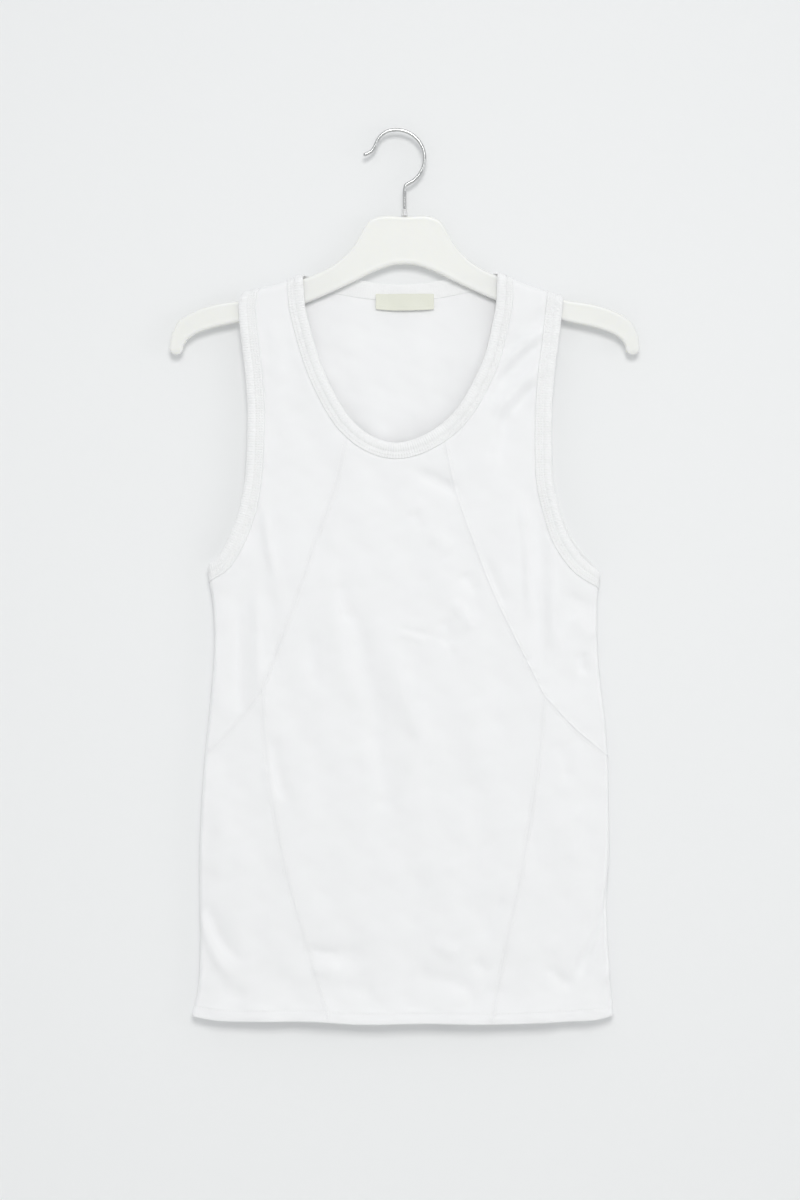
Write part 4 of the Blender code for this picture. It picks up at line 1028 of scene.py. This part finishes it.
def binding_part(section, sewn, free, front, pitch, rib_height):
    """Sections of one half of a binding. Its face is the cloth's, moved out by the section's heights and by
    ribs that run across it: rounded ridges with narrow grooves, 1 - (1 - |cos|)^sharpness along it."""
    middle = (sewn + free) / 2
    along = lengths_of(middle)
    ribs = max(1, round(along[-1] / pitch))
    at = np.linspace(0, along[-1], ribs * RIB_STATIONS + 1)
    sewn, free = (
        np.stack([np.interp(at, along, line[:, axis]) for axis in (0, 1)], 1) for line in (sewn, free)
    )
    sewn = from_sewn(sewn, free, TOUCH)
    share = section["share"][None, :, None]
    flat = sewn[:, None] * (1 - share) + free[:, None] * share
    rib = 1 - (1 - np.abs(np.cos(math.pi * np.arange(len(at)) / RIB_STATIONS))) ** RIB_SHARPNESS
    out = section["out"][None] + section["rib"][None] * rib_height * (rib[:, None] - RIB_MIDDLE)
    out = out + soft_height(flat, front)
    points = cloth_point(flat, front) + cloth_normal(flat, front) * out[..., None]
    return points, at


def make_binding(name, section, halves, finish, settings):
    """A whole binding from its front and back halves, each a sewn edge, a free edge and its side of the
    cloth."""
    pitch, height = settings.rib_pitch / MILLIMETRE, settings.rib_height / MILLIMETRE
    rings, lengths, start = [], [], 0.0
    for sewn, free, front in halves:
        ribs = height if front else BACK_RIBS * height
        points, along = binding_part(section, sewn, free, front, pitch, ribs)
        rings.append(points[:-1])
        lengths.append(along[:-1] + start)
        start += along[-1]
    rings = np.concatenate(rings)
    count, sides = rings.shape[:2]
    uv = np.stack(np.broadcast_arrays(np.concatenate(lengths)[:, None], lengths_of(rings[0])[None]), -1)
    # Painted shade along the binding's sewn edge, on its outer face only
    edge_shade = np.exp(-section["share"] * ARMHOLE_BINDING_WIDTH / EDGE_SHADE_WIDTH) * (section["out"] > -1)
    near = np.broadcast_to(edge_shade[None], (count, sides)).reshape(-1)
    piece = make_piece(name + "_rib", *loop(rings), finish, "rib", [name], uv.reshape(-1, 2), near)
    return piece, start * MILLIMETRE


def stitch_row(line, front, sewn, lift, settings):
    """Stitches along a flat line: short threads, a bow over the cloth between two holes, round in section
    and thin at both ends. They lie on the sewn face of a panel with this lift, or at the height lift over
    the soft face."""
    pitch, reach = settings.pitch / MILLIMETRE, settings.length / MILLIMETRE
    radius = settings.thread / MILLIMETRE / 2
    total = lengths_of(line)[-1]
    middles = np.arange(pitch, total - pitch / 2, pitch)
    steps = np.array(STITCH_SHARES) * reach
    flat = at_lengths(line, (middles[:, None] + steps[None]).ravel()).reshape(len(middles), len(steps), 2)
    normal = cloth_normal(flat, front)
    height = soft_height(flat, front) + (face_height(flat, front, lift)[0] if sewn else lift)
    centre = cloth_point(flat, front) + normal * height[..., None]
    tangent = centre[:, -1] - centre[:, 0]
    tangent /= np.linalg.norm(tangent, axis=1)[:, None]
    up = normal[:, 2, None]
    across = np.cross(tangent, normal[:, 2])[:, None]
    turns = np.radians(np.arange(0, 360, 360 / STITCH_SIDES))[:, None]
    thick = np.array(STITCH_THICKNESS)[:, None, None] * radius
    bow = np.array(STITCH_BOW)[:, None] * radius
    return (centre + up * bow)[:, :, None] + (across * np.cos(turns) + up * np.sin(turns))[:, None] * thick


def make_stitches(name, rows, context, slot):
    """One mesh of many stitches, each a short tube."""
    stitch = context.scene.tank_stitch
    points = np.concatenate([stitch_row(*row, stitch) for row in rows])
    index = numbered(*points.shape[:3])
    after = np.roll(index, -1, axis=2)
    walls = np.stack([index[:, 1:], after[:, 1:], after[:, :-1], index[:, :-1]], -1).reshape(-1, 4)
    ends = np.concatenate([index[:, 0], index[:, -1, ::-1]])
    faces = facing_out(points.reshape(-1, 3), walls, ends)
    rings, sides = index.shape[1:]
    along = np.linspace(0, STITCH_MAP[0], rings)[None, :, None]
    around = np.linspace(0, STITCH_MAP[1], sides)[None, None]
    uv = np.stack([np.broadcast_to(part, index.shape) for part in (along, around)], -1).reshape(-1, 2)
    thread = finish_named("white thread", spun, stitch.thread_colour)
    return make_piece(name, points.reshape(-1, 3), faces, thread, slot, [], uv)


# ----------------------------------------------------------------------------------------------------------
# Finishes


class Tree:
    """Short calls for building a node tree."""

    def __init__(self, tree):
        self.nodes, self.links = tree.nodes, tree.links

    def give(self, node, inputs):
        """Sets each of the node's inputs to a value, or joins it to another node's output."""
        for name, value in inputs.items():
            if isinstance(value, bpy.types.NodeSocket):
                self.links.new(value, node.inputs[name])
            else:
                node.inputs[name].default_value = value
        return node.outputs

    def add(self, kind, inputs, **settings):
        """The outputs of a new node with these settings and inputs."""
        node = self.nodes.new(kind)
        for name, value in settings.items():
            setattr(node, name, value)
        return self.give(node, inputs)

    def math(self, operation, *values):
        return self.add("ShaderNodeMath", dict(enumerate(values)), operation=operation)[0]

    def line(self, value, factor, offset):
        """value x factor + offset"""
        return self.math("ADD", self.math("MULTIPLY", value, factor), offset)

    def ridges(self, value):
        """|sin value|, rounded ridges with sharp grooves"""
        return self.math("ABSOLUTE", self.math("SINE", value))

    def mix(self, share, first, second):
        return self.add("ShaderNodeMix", {0: share, 6: first, 7: second}, data_type="RGBA")[2]

    def tones(self, share, colour, first, second=1.0):
        """From first x colour to second x colour."""
        return self.mix(share, shade(colour, first), shade(colour, second))

    def bump(self, height, distance, strength, **over):
        inputs = {"Height": height, "Distance": distance, "Strength": strength, **over}
        return self.add("ShaderNodeBump", inputs)[0]

    def cloth_map(self):
        """Flat place on the cloth in metres, as the mesh's map holds it."""
        return self.add("ShaderNodeUVMap", {}, uv_map="cloth")[0]

    def grain(self, fine, broad):
        """Two noises in the piece's own space, a fine one and a broad one."""
        place = self.add("ShaderNodeTexCoord", {})["Object"]
        inputs = {"Place": place, "Fine": fine, "Broad": broad}
        return self.add("ShaderNodeGroup", inputs, node_tree=group_named("grain", *GRAIN))


def shade(colour, factor):
    return (*[channel * factor for channel in colour[:3]], 1.0)


def group_named(name, inputs, fill):
    """The shader group of this name, built the first time it is asked for. inputs holds each input's
    default, None for a vector, and fill gives the outputs from the tree and the group's inputs."""
    if name in bpy.data.node_groups:
        return bpy.data.node_groups[name]
    group = bpy.data.node_groups.new(name, "ShaderNodeTree")
    for label, default in inputs.items():
        kind = "NodeSocketVector" if default is None else "NodeSocketFloat"
        socket = group.interface.new_socket(label, in_out="INPUT", socket_type=kind)
        if default is not None:
            socket.default_value = default
    tree = Tree(group)
    outputs = fill(tree, tree.add("NodeGroupInput", {}))
    for label in outputs:
        group.interface.new_socket(label, in_out="OUTPUT", socket_type="NodeSocketFloat")
    tree.give(group.nodes.new("NodeGroupOutput"), outputs)
    return group


def knit_group(tree, given):
    """Jersey stitches: columns of two legs, |sin| across, whose loops make a V by shifting with the distance
    from the column's middle. Height gives the knit's bumps; the gaps between the loops are painted in as
    shade."""
    parts = tree.add("ShaderNodeSeparateXYZ", {0: given["Cloth"]})
    column = tree.math("MULTIPLY", parts[0], given["Columns per metre"])
    row = tree.math("MULTIPLY", parts[1], given["Rows per metre"])
    off_middle = tree.math("ABSOLUTE", tree.math("SUBTRACT", tree.math("FRACT", column), 0.5))
    legs = tree.ridges(tree.math("MULTIPLY", column, 2 * math.pi))
    shifted = tree.math("ADD", row, tree.math("MULTIPLY", off_middle, 1.3))
    loops = tree.ridges(tree.math("MULTIPLY", shifted, math.pi))
    height = tree.math("MULTIPLY", legs, tree.line(loops, 0.55, 0.45))
    return {"Height": height, "Gap": tree.math("SUBTRACT", 1.0, height)}


def grain_group(tree, given):
    """Two noises, a fine one for fuzz and grain and a broad one for unevenness over the surface."""
    noises = {}
    for label, detail in (("Fine", 2.0), ("Broad", 3.0)):
        inputs = {"Vector": given["Place"], "Scale": given[label], "Detail": detail}
        noises[label] = tree.add("ShaderNodeTexNoise", inputs)["Fac"]
    return noises


KNIT = ({"Cloth": None, "Columns per metre": 1000.0, "Rows per metre": 1200.0}, knit_group)
GRAIN = ({"Place": None, "Fine": 1500.0, "Broad": 20.0}, grain_group)


def finish_named(name, build, *settings):
    """The material of this name, built the first time it is asked for. build gives the inputs of its
    Principled shader."""
    made = bpy.data.materials.get(name)
    if made is None:
        made = bpy.data.materials.new(name)
        made.use_nodes = True
        tree = Tree(made.node_tree)
        tree.give(made.node_tree.nodes["Principled BSDF"], build(tree, *settings))
    return made


def knitted(tree, cloth, colour, depth, seam_shade_strength):
    """Knitted cotton: knit and fuzz as bumps, uneven whiteness, painted shade in the gaps between the knit's
    loops, and a painted shade line at the seams and sewn edges, where their grooves fall in shade.
    """
    columns, rows = 1 / cloth.knit_width, 1 / cloth.knit_height
    inputs = {"Cloth": tree.cloth_map(), "Columns per metre": columns, "Rows per metre": rows}
    knit = tree.add("ShaderNodeGroup", inputs, node_tree=group_named("knit stitches", *KNIT))
    grain = tree.grain(2200.0, 17.0)
    near = tree.add("ShaderNodeAttribute", {}, attribute_name="near_seam")["Fac"]
    uneven = tree.math("MULTIPLY", tree.math("SUBTRACT", grain["Broad"], 0.5), 0.6)
    # Painted shade in the knit's gaps, mixed with the uneven whiteness of the cloth
    tone_and_gap_shade = tree.tones(tree.line(knit["Gap"], 0.35, uneven), colour, 1.0, 0.965)
    fuzz = tree.bump(grain["Fine"], 0.00005, 0.5)
    return {
        # Painted shade line at the seams and sewn edges, over the knit's painted gap shade and uneven tone
        "Base Color": tree.mix(tree.math("MULTIPLY", near, seam_shade_strength), tone_and_gap_shade, shade(colour, 0.45)),
        "Roughness": tree.line(grain["Fine"], 0.12, 0.8),
        "Normal": tree.bump(knit["Height"], depth, 0.6, Normal=fuzz),
        "Specular IOR Level": 0.25,
        "Sheen Weight": 0.12,
        "Sheen Roughness": 0.5,
        "Subsurface Weight": 0.7,
        "Subsurface Radius": (1.0, 1.0, 1.0),
        "Subsurface Scale": 0.0005,
    }


def spun(tree, colour):
    """Sewing thread: two plies, as slanted bumps along its length and as painted shade in the grooves between
    them.
    """
    parts = tree.add("ShaderNodeSeparateXYZ", {0: tree.cloth_map()})
    plies = tree.ridges(tree.line(parts[0], 9000.0, tree.math("MULTIPLY", parts[1], 5700.0)))
    return {
        # Painted shade in the grooves between the plies
        "Base Color": tree.tones(plies, colour, 0.93),
        "Normal": tree.bump(plies, 0.00006, 0.7),
        "Roughness": 0.6,
    }


def woven(tree, colour):
    """Woven tape: a twill of slanted threads, as bumps and as painted shade between the threads, and slight
    yellowing in patches.
    """
    parts = tree.add("ShaderNodeSeparateXYZ", {0: tree.cloth_map()})
    grain = tree.grain(2600.0, 60.0)
    warp = tree.ridges(tree.math("MULTIPLY", parts[0], 6300.0))
    slant = tree.math("ADD", parts[1], tree.math("MULTIPLY", parts[0], 0.5))
    weave = tree.math("MULTIPLY", warp, tree.ridges(tree.math("MULTIPLY", slant, 5200.0)))
    yellow = (colour[0] * 0.97, colour[1] * 0.95, colour[2] * 0.84, 1.0)
    patch = tree.math("MULTIPLY", grain["Broad"], 0.35)
    return {
        # Painted shade between the threads, with the yellowing patches over it
        "Base Color": tree.mix(patch, tree.tones(weave, colour, 0.92), yellow),
        "Roughness": tree.line(grain["Fine"], 0.15, 0.55),
        "Normal": tree.bump(weave, 0.0001, 0.6),
        "Sheen Weight": 0.1,
    }


def moulded(tree, colour):
    """Moulded plastic, a little see-through: light scattered inside, faint flow marks, and dulled handling
    marks."""
    grain = tree.grain(900.0, 26.0)
    return {
        "Base Color": tree.tones(grain["Broad"], colour, 0.975),
        "Roughness": tree.line(grain["Broad"], 0.22, 0.24),
        "Normal": tree.bump(grain["Fine"], 0.00006, 0.35),
        "Subsurface Weight": 0.6,
        "Subsurface Radius": (1.0, 1.0, 0.9),
        "Subsurface Scale": 0.006,
        "Specular IOR Level": 0.45,
    }


def polished(tree, colour):
    """Polished chrome wire: fine drawing lines and a slight uneven haze."""
    grain = tree.grain(1800.0, 90.0)
    return {
        "Base Color": tree.tones(grain["Broad"], colour, 0.9),
        "Roughness": tree.line(grain["Broad"], 0.12, 0.06),
        "Normal": tree.bump(grain["Fine"], 0.00002, 0.3),
        "Metallic": 1.0,
    }


def painted(tree, colour):
    """Matt paint with a faint roller grain."""
    grain = tree.grain(400.0, 1.4)
    return {
        "Base Color": tree.tones(grain["Broad"], colour, 0.99),
        "Normal": tree.bump(grain["Fine"], 0.0001, 0.08),
        "Roughness": 0.9,
        "Specular IOR Level": 0.1,
    }


def backdrop(tree, colour):
    """The same paint, but clear from behind, so that the object's back can be seen."""
    behind = tree.add("ShaderNodeNewGeometry", {})["Backfacing"]
    clear = tree.add("ShaderNodeBsdfTransparent", {})[0]
    paint = tree.nodes["Principled BSDF"].outputs[0]
    blend = tree.add("ShaderNodeMixShader", {0: behind, 1: paint, 2: clear})[0]
    tree.give(tree.nodes["Material Output"], {"Surface": blend})
    return painted(tree, colour)


# ----------------------------------------------------------------------------------------------------------
# Settings


def size_of(name, text, millimetres):
    return bpy.props.FloatProperty(
        name=name, description=text, default=millimetres * MILLIMETRE, min=0, precision=5, unit="LENGTH"
    )


def colour_of(name, text, colour):
    return bpy.props.FloatVectorProperty(
        name=name, description=text, default=colour, size=3, min=0, max=1, subtype="COLOR"
    )


def number_of(name, text, value):
    return bpy.props.FloatProperty(name=name, description=text, default=value)


class TankClothSettings(bpy.types.PropertyGroup):
    """The jersey and the rib."""

    jersey_colour: colour_of("Jersey", "Colour of the cloth panels", (0.93, 0.93, 0.94))
    # A little lighter than the jersey: partly the rib's own white, partly painted light that makes up for the
    # shade between its ribs and for the light the bindings catch
    lit_rib_colour: colour_of("Rib", "Colour of the ribbed bindings", (0.95, 0.95, 0.948))
    knit_width: size_of("Knit width", "Width of one column of knit stitches", 0.85)
    knit_height: size_of("Knit height", "Height of one row of knit stitches", 0.7)
    rib_pitch: size_of("Rib pitch", "From one rib of a binding to the next", 2.27)
    rib_height: size_of("Rib height", "Depth of the grooves between the ribs", 0.38)


class TankStitchSettings(bpy.types.PropertyGroup):
    """The sewing thread."""

    thread_colour: colour_of("Thread", "Colour of the sewing thread", (0.98, 0.98, 0.98))
    pitch: size_of("Stitch pitch", "From one stitch to the next", 2.7)
    length: size_of("Stitch length", "Length of a stitch between its holes", 2.1)
    thread: size_of("Thread thickness", "Diameter of the sewing thread", 0.5)


class TankTrimSettings(bpy.types.PropertyGroup):
    """The label, the hanger and the hook."""

    label_colour: colour_of("Label", "Colour of the woven tape", (0.83, 0.84, 0.75))
    plastic_colour: colour_of("Plastic", "Colour of the moulded hanger", (0.842, 0.844, 0.818))
    chrome_colour: colour_of("Chrome", "Colour of the hook's wire", (0.64, 0.645, 0.64))
    wire: size_of("Wire", "Diameter of the hook's wire", 3.3)


class TankStudioSettings(bpy.types.PropertyGroup):
    """Camera, lights, backdrop and floor."""

    distance: size_of("Camera distance", "From the camera to the hanger's middle plane", 2400)
    view_height: size_of("View height", "Height of what the camera's frame takes in there", 1070.4)
    backdrop: size_of("Backdrop", "From the hanger's middle plane back to the backdrop", 9.3)
    floor: size_of("Floor", "How far the floor lies below the hook", 1200)
    top_power: number_of("Top light", "Power of the soft light above the camera, in watts", 10.7)
    side_power: number_of("Right light", "Power of the weaker soft light on the right, in watts", 8)
    back_power: number_of("Back light", "Power of the soft light behind, on the left, in watts", 13)
    ambient: number_of("Ambient", "Strength of the pale surroundings", 0.65)
    wall_colour: colour_of("Backdrop colour", "Colour of the backdrop", (0.88, 0.885, 0.885))
    floor_colour: colour_of("Floor colour", "Colour of the floor", (0.8, 0.8, 0.79))


# ----------------------------------------------------------------------------------------------------------
# Operators


def jersey(context):
    cloth = context.scene.tank_cloth
    return finish_named("white jersey", knitted, cloth, cloth.jersey_colour, *JERSEY_LOOK)


def rib(context):
    cloth = context.scene.tank_cloth
    return finish_named("white rib", knitted, cloth, cloth.lit_rib_colour, *RIB_LOOK)


def seam_rows():
    """Rows of stitches on both sides of every front seam, raised where they lie on a lifted panel."""
    rows = []
    for seams, ends in ((PATTERN.long_seams, LONG_SEAM_ENDS), (PATTERN.lower, LOW_SEAM_ENDS)):
        for which, line in seams.items():
            for way in (1, -1):
                row = trimmed(line + normals_of(line) * way * STITCHES_OFF_SEAM, *ends)
                on_top = seams is PATTERN.long_seams and way == OUT[which]
                rows.append((row, True, True, SEAM_LIFT["front_shoulder_" + which] if on_top else 0.0))
    return rows


def hem_rows(front):
    """The row of stitches that holds the turned-up hem, from side to side."""
    z = float(hem(0)) + HEM_STITCHES
    ends = [flat_side(which, z) - HEM_ROW_END * out for which, out in OUT.items()]
    x = np.linspace(*ends, HEM_ROW_STEPS)
    return [(np.stack([x, hem(x) + HEM_STITCHES], 1), front, True, 0.0)]


def trimmed(line, start, end):
    """The line without its first and last lengths."""
    total = lengths_of(line)[-1]
    return at_lengths(line, np.linspace(start, total - end, len(line)))


class FrontPanels(bpy.types.Operator):
    """Five front panels of white jersey with their seams and stitching"""

    bl_idname = "tank_top.front_panels"
    bl_label = "Front panels"

    def execute(self, context):
        finish, shared = jersey(context), []
        for which in OUT:
            shoulder_net, side_net, seams = side_nets(which)
            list(make_panel("front_shoulder_" + which, shoulder_net, True, finish, hemmed=False))
            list(make_panel("front_side_" + which, side_net, True, finish))
            shared.append(seams)
        piece, cut = make_panel("front_centre", centre_net(shared), True, finish)
        seams = make_stitches("seam_stitches", seam_rows(), context, "jersey")
        hems = make_stitches("hem_stitches_front", hem_rows(True), context, "jersey")
        return {"FINISHED"}


class BackPanel(bpy.types.Operator):
    """The back, one piece of white jersey with both back straps"""

    bl_idname = "tank_top.back_panel"
    bl_label = "Back panel"

    def execute(self, context):
        piece, cut = make_panel("back", back_net(), False, jersey(context))
        hems = make_stitches("hem_stitches_back", hem_rows(False), context, "jersey")
        return {"FINISHED"}


class Bindings(bpy.types.Operator):
    """Ribbed bindings round the neck and both armholes, with their two rows of stitches"""

    bl_idname = "tank_top.bindings"
    bl_label = "Bindings"

    def execute(self, context):
        finish = rib(context)
        neck = [
            (PATTERN.neck["front"], PATTERN.neck_free[True], True),
            (PATTERN.neck["back"], PATTERN.neck_free[False], False),
        ]
        jobs = [("neck_binding", NECK_SECTION, neck, NECK_BINDING_WIDTH, NECK_STITCHES)]
        for which in OUT:
            armhole = [
                (PATTERN.sewn[which, True], PATTERN.free[which, True], True),
                (PATTERN.sewn[which, False][::-1], PATTERN.free[which, False][::-1], False),
            ]
            name = "armhole_binding_" + which
            jobs.append((name, ARMHOLE_SECTION, armhole, ARMHOLE_BINDING_WIDTH, ARMHOLE_STITCHES))
        for name, section, halves, width, rows in jobs:
            piece, length = make_binding(name, section, halves, finish, context.scene.tank_cloth)
            lines = [
                (trimmed(from_sewn(sewn, free, away), *BINDING_ENDS), front, False, BINDING_STITCH_LIFT)
                for sewn, free, front in halves
                for away in rows
            ]
            sewing = make_stitches(name.replace("binding", "stitches"), lines, context, "rib")
        return {"FINISHED"}


class NeckLabel(bpy.types.Operator):
    """A small blank tape, folded along its lower edge and sewn inside the back of the neck"""

    bl_idname = "tank_top.neck_label"
    bl_label = "Neck label"

    def execute(self, context):
        across = np.linspace(-1, 1, LABEL_NET[1])[None]
        down = np.linspace(1, 0, LABEL_NET[0])[:, None]
        z = LABEL_TOP - (LABEL_HEIGHT + LABEL_BOW * (1 - across**2)) * down
        x = LABEL_CENTRE + across * (LABEL_WIDTH / 2 - LABEL_EDGE)
        flat = np.stack(np.broadcast_arrays(x, z), -1)
        outer, normal = cloth_point(flat, False), cloth_normal(flat, False)
        turns, phase = LABEL_WAVE
        lift = LABEL_LIFT * down**2 + LABEL_CURL * np.sin(turns * across + phase) * down
        place, wide, deep = LABEL_FOLD
        fold = deep * np.exp(-(((1 - down) * LABEL_HEIGHT - place) / wide) ** 2)
        depth = BINDING - BINDING_OUT + SEAM_GAP + lift - soft_height(flat, False)
        near = outer - normal * depth[..., None]
        far = outer - normal * (depth + LABEL_THICKNESS - fold)[..., None]
        points, faces, source = shell(far, near, np.full(2 * sum(LABEL_NET) - 4, LABEL_BULGE), True)
        uv = flat.reshape(-1, 2)[source]
        finish = finish_named("cream tape", woven, context.scene.tank_trim.label_colour)
        piece = make_piece("neck_label_tape", points, [faces], finish, "tape", ["neck_label"], uv)
        return {"FINISHED"}


class Hanger(bpy.types.Operator):
    """The moulded plastic hanger with its raised rim and its collar"""

    bl_idname = "tank_top.hanger"
    bl_label = "Hanger"

    def execute(self, context):
        top, bottom = self.edges()
        down = bottom - top
        height = np.linalg.norm(down, axis=1)[:, None]
        way = down / np.maximum(height, NEARLY_NOTHING)
        inset, raised = HANGER_FACE["inset"][None], HANGER_FACE["height"]
        from_top = inset * np.minimum(1, height / 2 / (inset[0, -1] + LEAST_BETWEEN))
        places = np.concatenate([from_top, (height - from_top)[:, ::-1]], 1)
        lift = np.concatenate([raised, raised[::-1]])[None] * HANGER_THICKNESS / 2
        lift = lift * np.minimum(1, height / THIN_BELOW) ** 0.5
        face = top[:, None] + way[:, None] * places[..., None]
        front, back = (np.stack([face[..., 0], y, face[..., 1]], -1) for y in (-lift, lift))
        finish = finish_named("white plastic", moulded, context.scene.tank_trim.plastic_colour)
        body = tube(np.concatenate([front, back[:, -2:0:-1]], 1))
        make_piece("hanger_moulding", *body, finish, "hanger_plastic", ["hanger_body"])
        turns = np.linspace(0, 2 * np.pi, COLLAR_SIDES, endpoint=False)[:, None]
        radius, z = COLLAR_PROFILE.values()
        x, y = STEM_X + radius * np.cos(turns), radius * np.sin(turns)
        collar = loop(np.stack(np.broadcast_arrays(x, y, z), -1))
        make_piece("hook_collar", *collar, finish, "hanger_plastic", ["hanger_collar"])
        return {"FINISHED"}

    @staticmethod
    def edges():
        """Upper and lower edge of the whole hanger from the left tip to the right one, in matching points."""
        turn = np.radians(np.linspace(*TIP_ARC, TIP_STEPS))
        arc = TIP_CENTRE + TIP_RADIUS * np.stack([np.cos(turn), np.sin(turn)], 1)
        cut = int(np.argmin(np.abs(np.degrees(turn) - TIP_END)))
        upper = np.concatenate([smooth_curve(rows_of(HANGER_TOP)), arc[: cut + 1]])
        lower = np.concatenate([smooth_curve(rows_of(HANGER_BOTTOM))[::-1], arc[cut:][::-1]])
        share = 1 - (1 - np.linspace(0, 1, HANGER_SECTIONS)) ** EDGE_SPACING
        upper = at_lengths(upper, share * lengths_of(upper)[-1])
        lower = at_lengths(lower, share * lengths_of(lower)[-1])
        return tuple(joined(line[::-1] * (-1, 1), line) for line in (upper, lower))


class Hook(bpy.types.Operator):
    """The chrome wire hook: a curled tip, an arc, and a bend into the stem"""

    bl_idname = "tank_top.hook"
    bl_label = "Hook"

    def execute(self, context):
        trim = context.scene.tank_trim
        radius = trim.wire / MILLIMETRE / 2
        angles = np.radians(np.linspace(*HOOK_ARC, ARC_POINTS))
        arc = HOOK_CENTRE + HOOK_RADIUS * np.stack([np.cos(angles), np.sin(angles)], 1)
        end = (STEM_X, COLLAR_TOP + SEAM_GAP)
        line = smooth_curve([*rows_of(HOOK_TIP), *arc, *rows_of(HOOK_STEM), end], WIRE_STEPS)
        rounding = np.linspace(0, QUARTER, TIP_SECTIONS)[:-1]
        along = np.linspace(radius, lengths_of(line)[-1], WIRE_SECTIONS)
        at = np.concatenate([radius * (1 - np.cos(rounding)), along])
        thick = np.full((len(at), 1), radius)
        thick[: len(rounding), 0] = radius * np.sin(rounding)
        thick[0] = TIP_FLAT
        centre = at_lengths(line, at)[:, None]
        turns = np.linspace(0, 2 * np.pi, WIRE_SIDES, endpoint=False)
        in_plane = centre + normals_of(centre[:, 0])[:, None] * (np.cos(turns) * thick)[..., None]
        wire = tube(np.stack([in_plane[..., 0], np.sin(turns) * thick, in_plane[..., 1]], -1))
        finish = finish_named("chrome wire", polished, trim.chrome_colour)
        make_piece("hook_wire", *wire, finish, "hook_wire", ["hanger_hook"])
        return {"FINISHED"}


def stage_plane(name, corners, finish):
    mesh = bpy.data.meshes.new(name)
    mesh.from_pydata(corners, [], [(0, 1, 2, 3)])
    mesh.materials.append(finish)
    plane = bpy.data.objects.new(name, mesh)
    bpy.context.scene.collection.objects.link(plane)
    return plane


def soft_light(name, place, target, size, spread, power, colour):
    """A square light that looks at the target. Its light falls off towards half the spread, in degrees."""
    light = bpy.data.lights.new(name, "AREA")
    light.shape, light.size, light.spread = "SQUARE", size, math.radians(spread)
    light.energy, light.color = power, colour
    lamp = bpy.data.objects.new(name, light)
    lamp.location = place
    lamp.rotation_euler = (Vector(target) - Vector(place)).to_track_quat("-Z", "Y").to_euler()
    bpy.context.scene.collection.objects.link(lamp)


class Studio(bpy.types.Operator):
    """Camera, soft lights, a pale backdrop close behind and a pale floor"""

    bl_idname = "tank_top.studio"
    bl_label = "Studio"

    def execute(self, context):
        scene, studio = context.scene, context.scene.tank_studio
        y, z, reach, wide = studio.backdrop, -studio.floor, BACKDROP_REACH, FLOOR_REACH
        corners = [(-reach, y, z), (reach, y, z), (reach, y, reach), (-reach, y, reach)]
        wall = stage_plane("backdrop", corners, finish_named("pale backdrop", backdrop, studio.wall_colour))
        wall.visible_shadow = wall.visible_diffuse = False
        corners = [(-wide, -wide, z), (wide, -wide, z), (wide, wide, z), (-wide, wide, z)]
        stage_plane("floor", corners, finish_named("pale floor", painted, studio.floor_colour))
        for name, place, aim, size, spread, power, colour in LIGHTS:
            soft_light(name, place, aim, size, spread, getattr(studio, power), colour)
        world = bpy.data.worlds.new("pale surroundings")
        world.use_nodes = True
        background = world.node_tree.nodes["Background"]
        background.inputs["Color"].default_value = SURROUNDINGS
        background.inputs["Strength"].default_value = studio.ambient
        scene.world = world
        camera = bpy.data.objects.new("camera", bpy.data.cameras.new("camera"))
        camera.location = (VIEW_CENTRE[0], -studio.distance, VIEW_CENTRE[2])
        camera.rotation_euler = (QUARTER, 0, 0)
        camera.data.sensor_width = SENSOR
        camera.data.lens = SENSOR * studio.distance / studio.view_height
        camera.data.clip_start, camera.data.clip_end = CAMERA_CLIP
        scene.collection.objects.link(camera)
        scene.camera = camera
        scene.view_settings.view_transform = "Standard"
        return {"FINISHED"}


OPERATORS = (FrontPanels, BackPanel, Bindings, NeckLabel, Hanger, Hook, Studio)
SETTINGS = {
    "tank_cloth": TankClothSettings,
    "tank_stitch": TankStitchSettings,
    "tank_trim": TankTrimSettings,
    "tank_studio": TankStudioSettings,
}


class TankTopPanel(bpy.types.Panel):
    """The pieces of the tank top and their sizes and colours"""

    bl_idname = "VIEW3D_PT_tank_top"
    bl_label = "Tank top"
    bl_space_type = "VIEW_3D"
    bl_region_type = "UI"
    bl_category = "Tank top"

    def draw(self, context):
        for operator in OPERATORS:
            self.layout.operator(operator.bl_idname)
        for name, group in SETTINGS.items():
            box = self.layout.box()
            for field in group.__annotations__:
                box.prop(getattr(context.scene, name), field)


CLASSES = (*SETTINGS.values(), *OPERATORS, TankTopPanel)


def register():
    for made in CLASSES:
        bpy.utils.register_class(made)
    for name, group in SETTINGS.items():
        setattr(bpy.types.Scene, name, bpy.props.PointerProperty(type=group))


def unregister():
    for name in SETTINGS:
        delattr(bpy.types.Scene, name)
    for made in reversed(CLASSES):
        bpy.utils.unregister_class(made)


def main():
    register()
    bpy.ops.tank_top.front_panels()
    bpy.ops.tank_top.back_panel()
    bpy.ops.tank_top.bindings()
    bpy.ops.tank_top.neck_label()
    bpy.ops.tank_top.hanger()
    bpy.ops.tank_top.hook()
    bpy.ops.tank_top.studio()


if __name__ == "__main__":
    main()
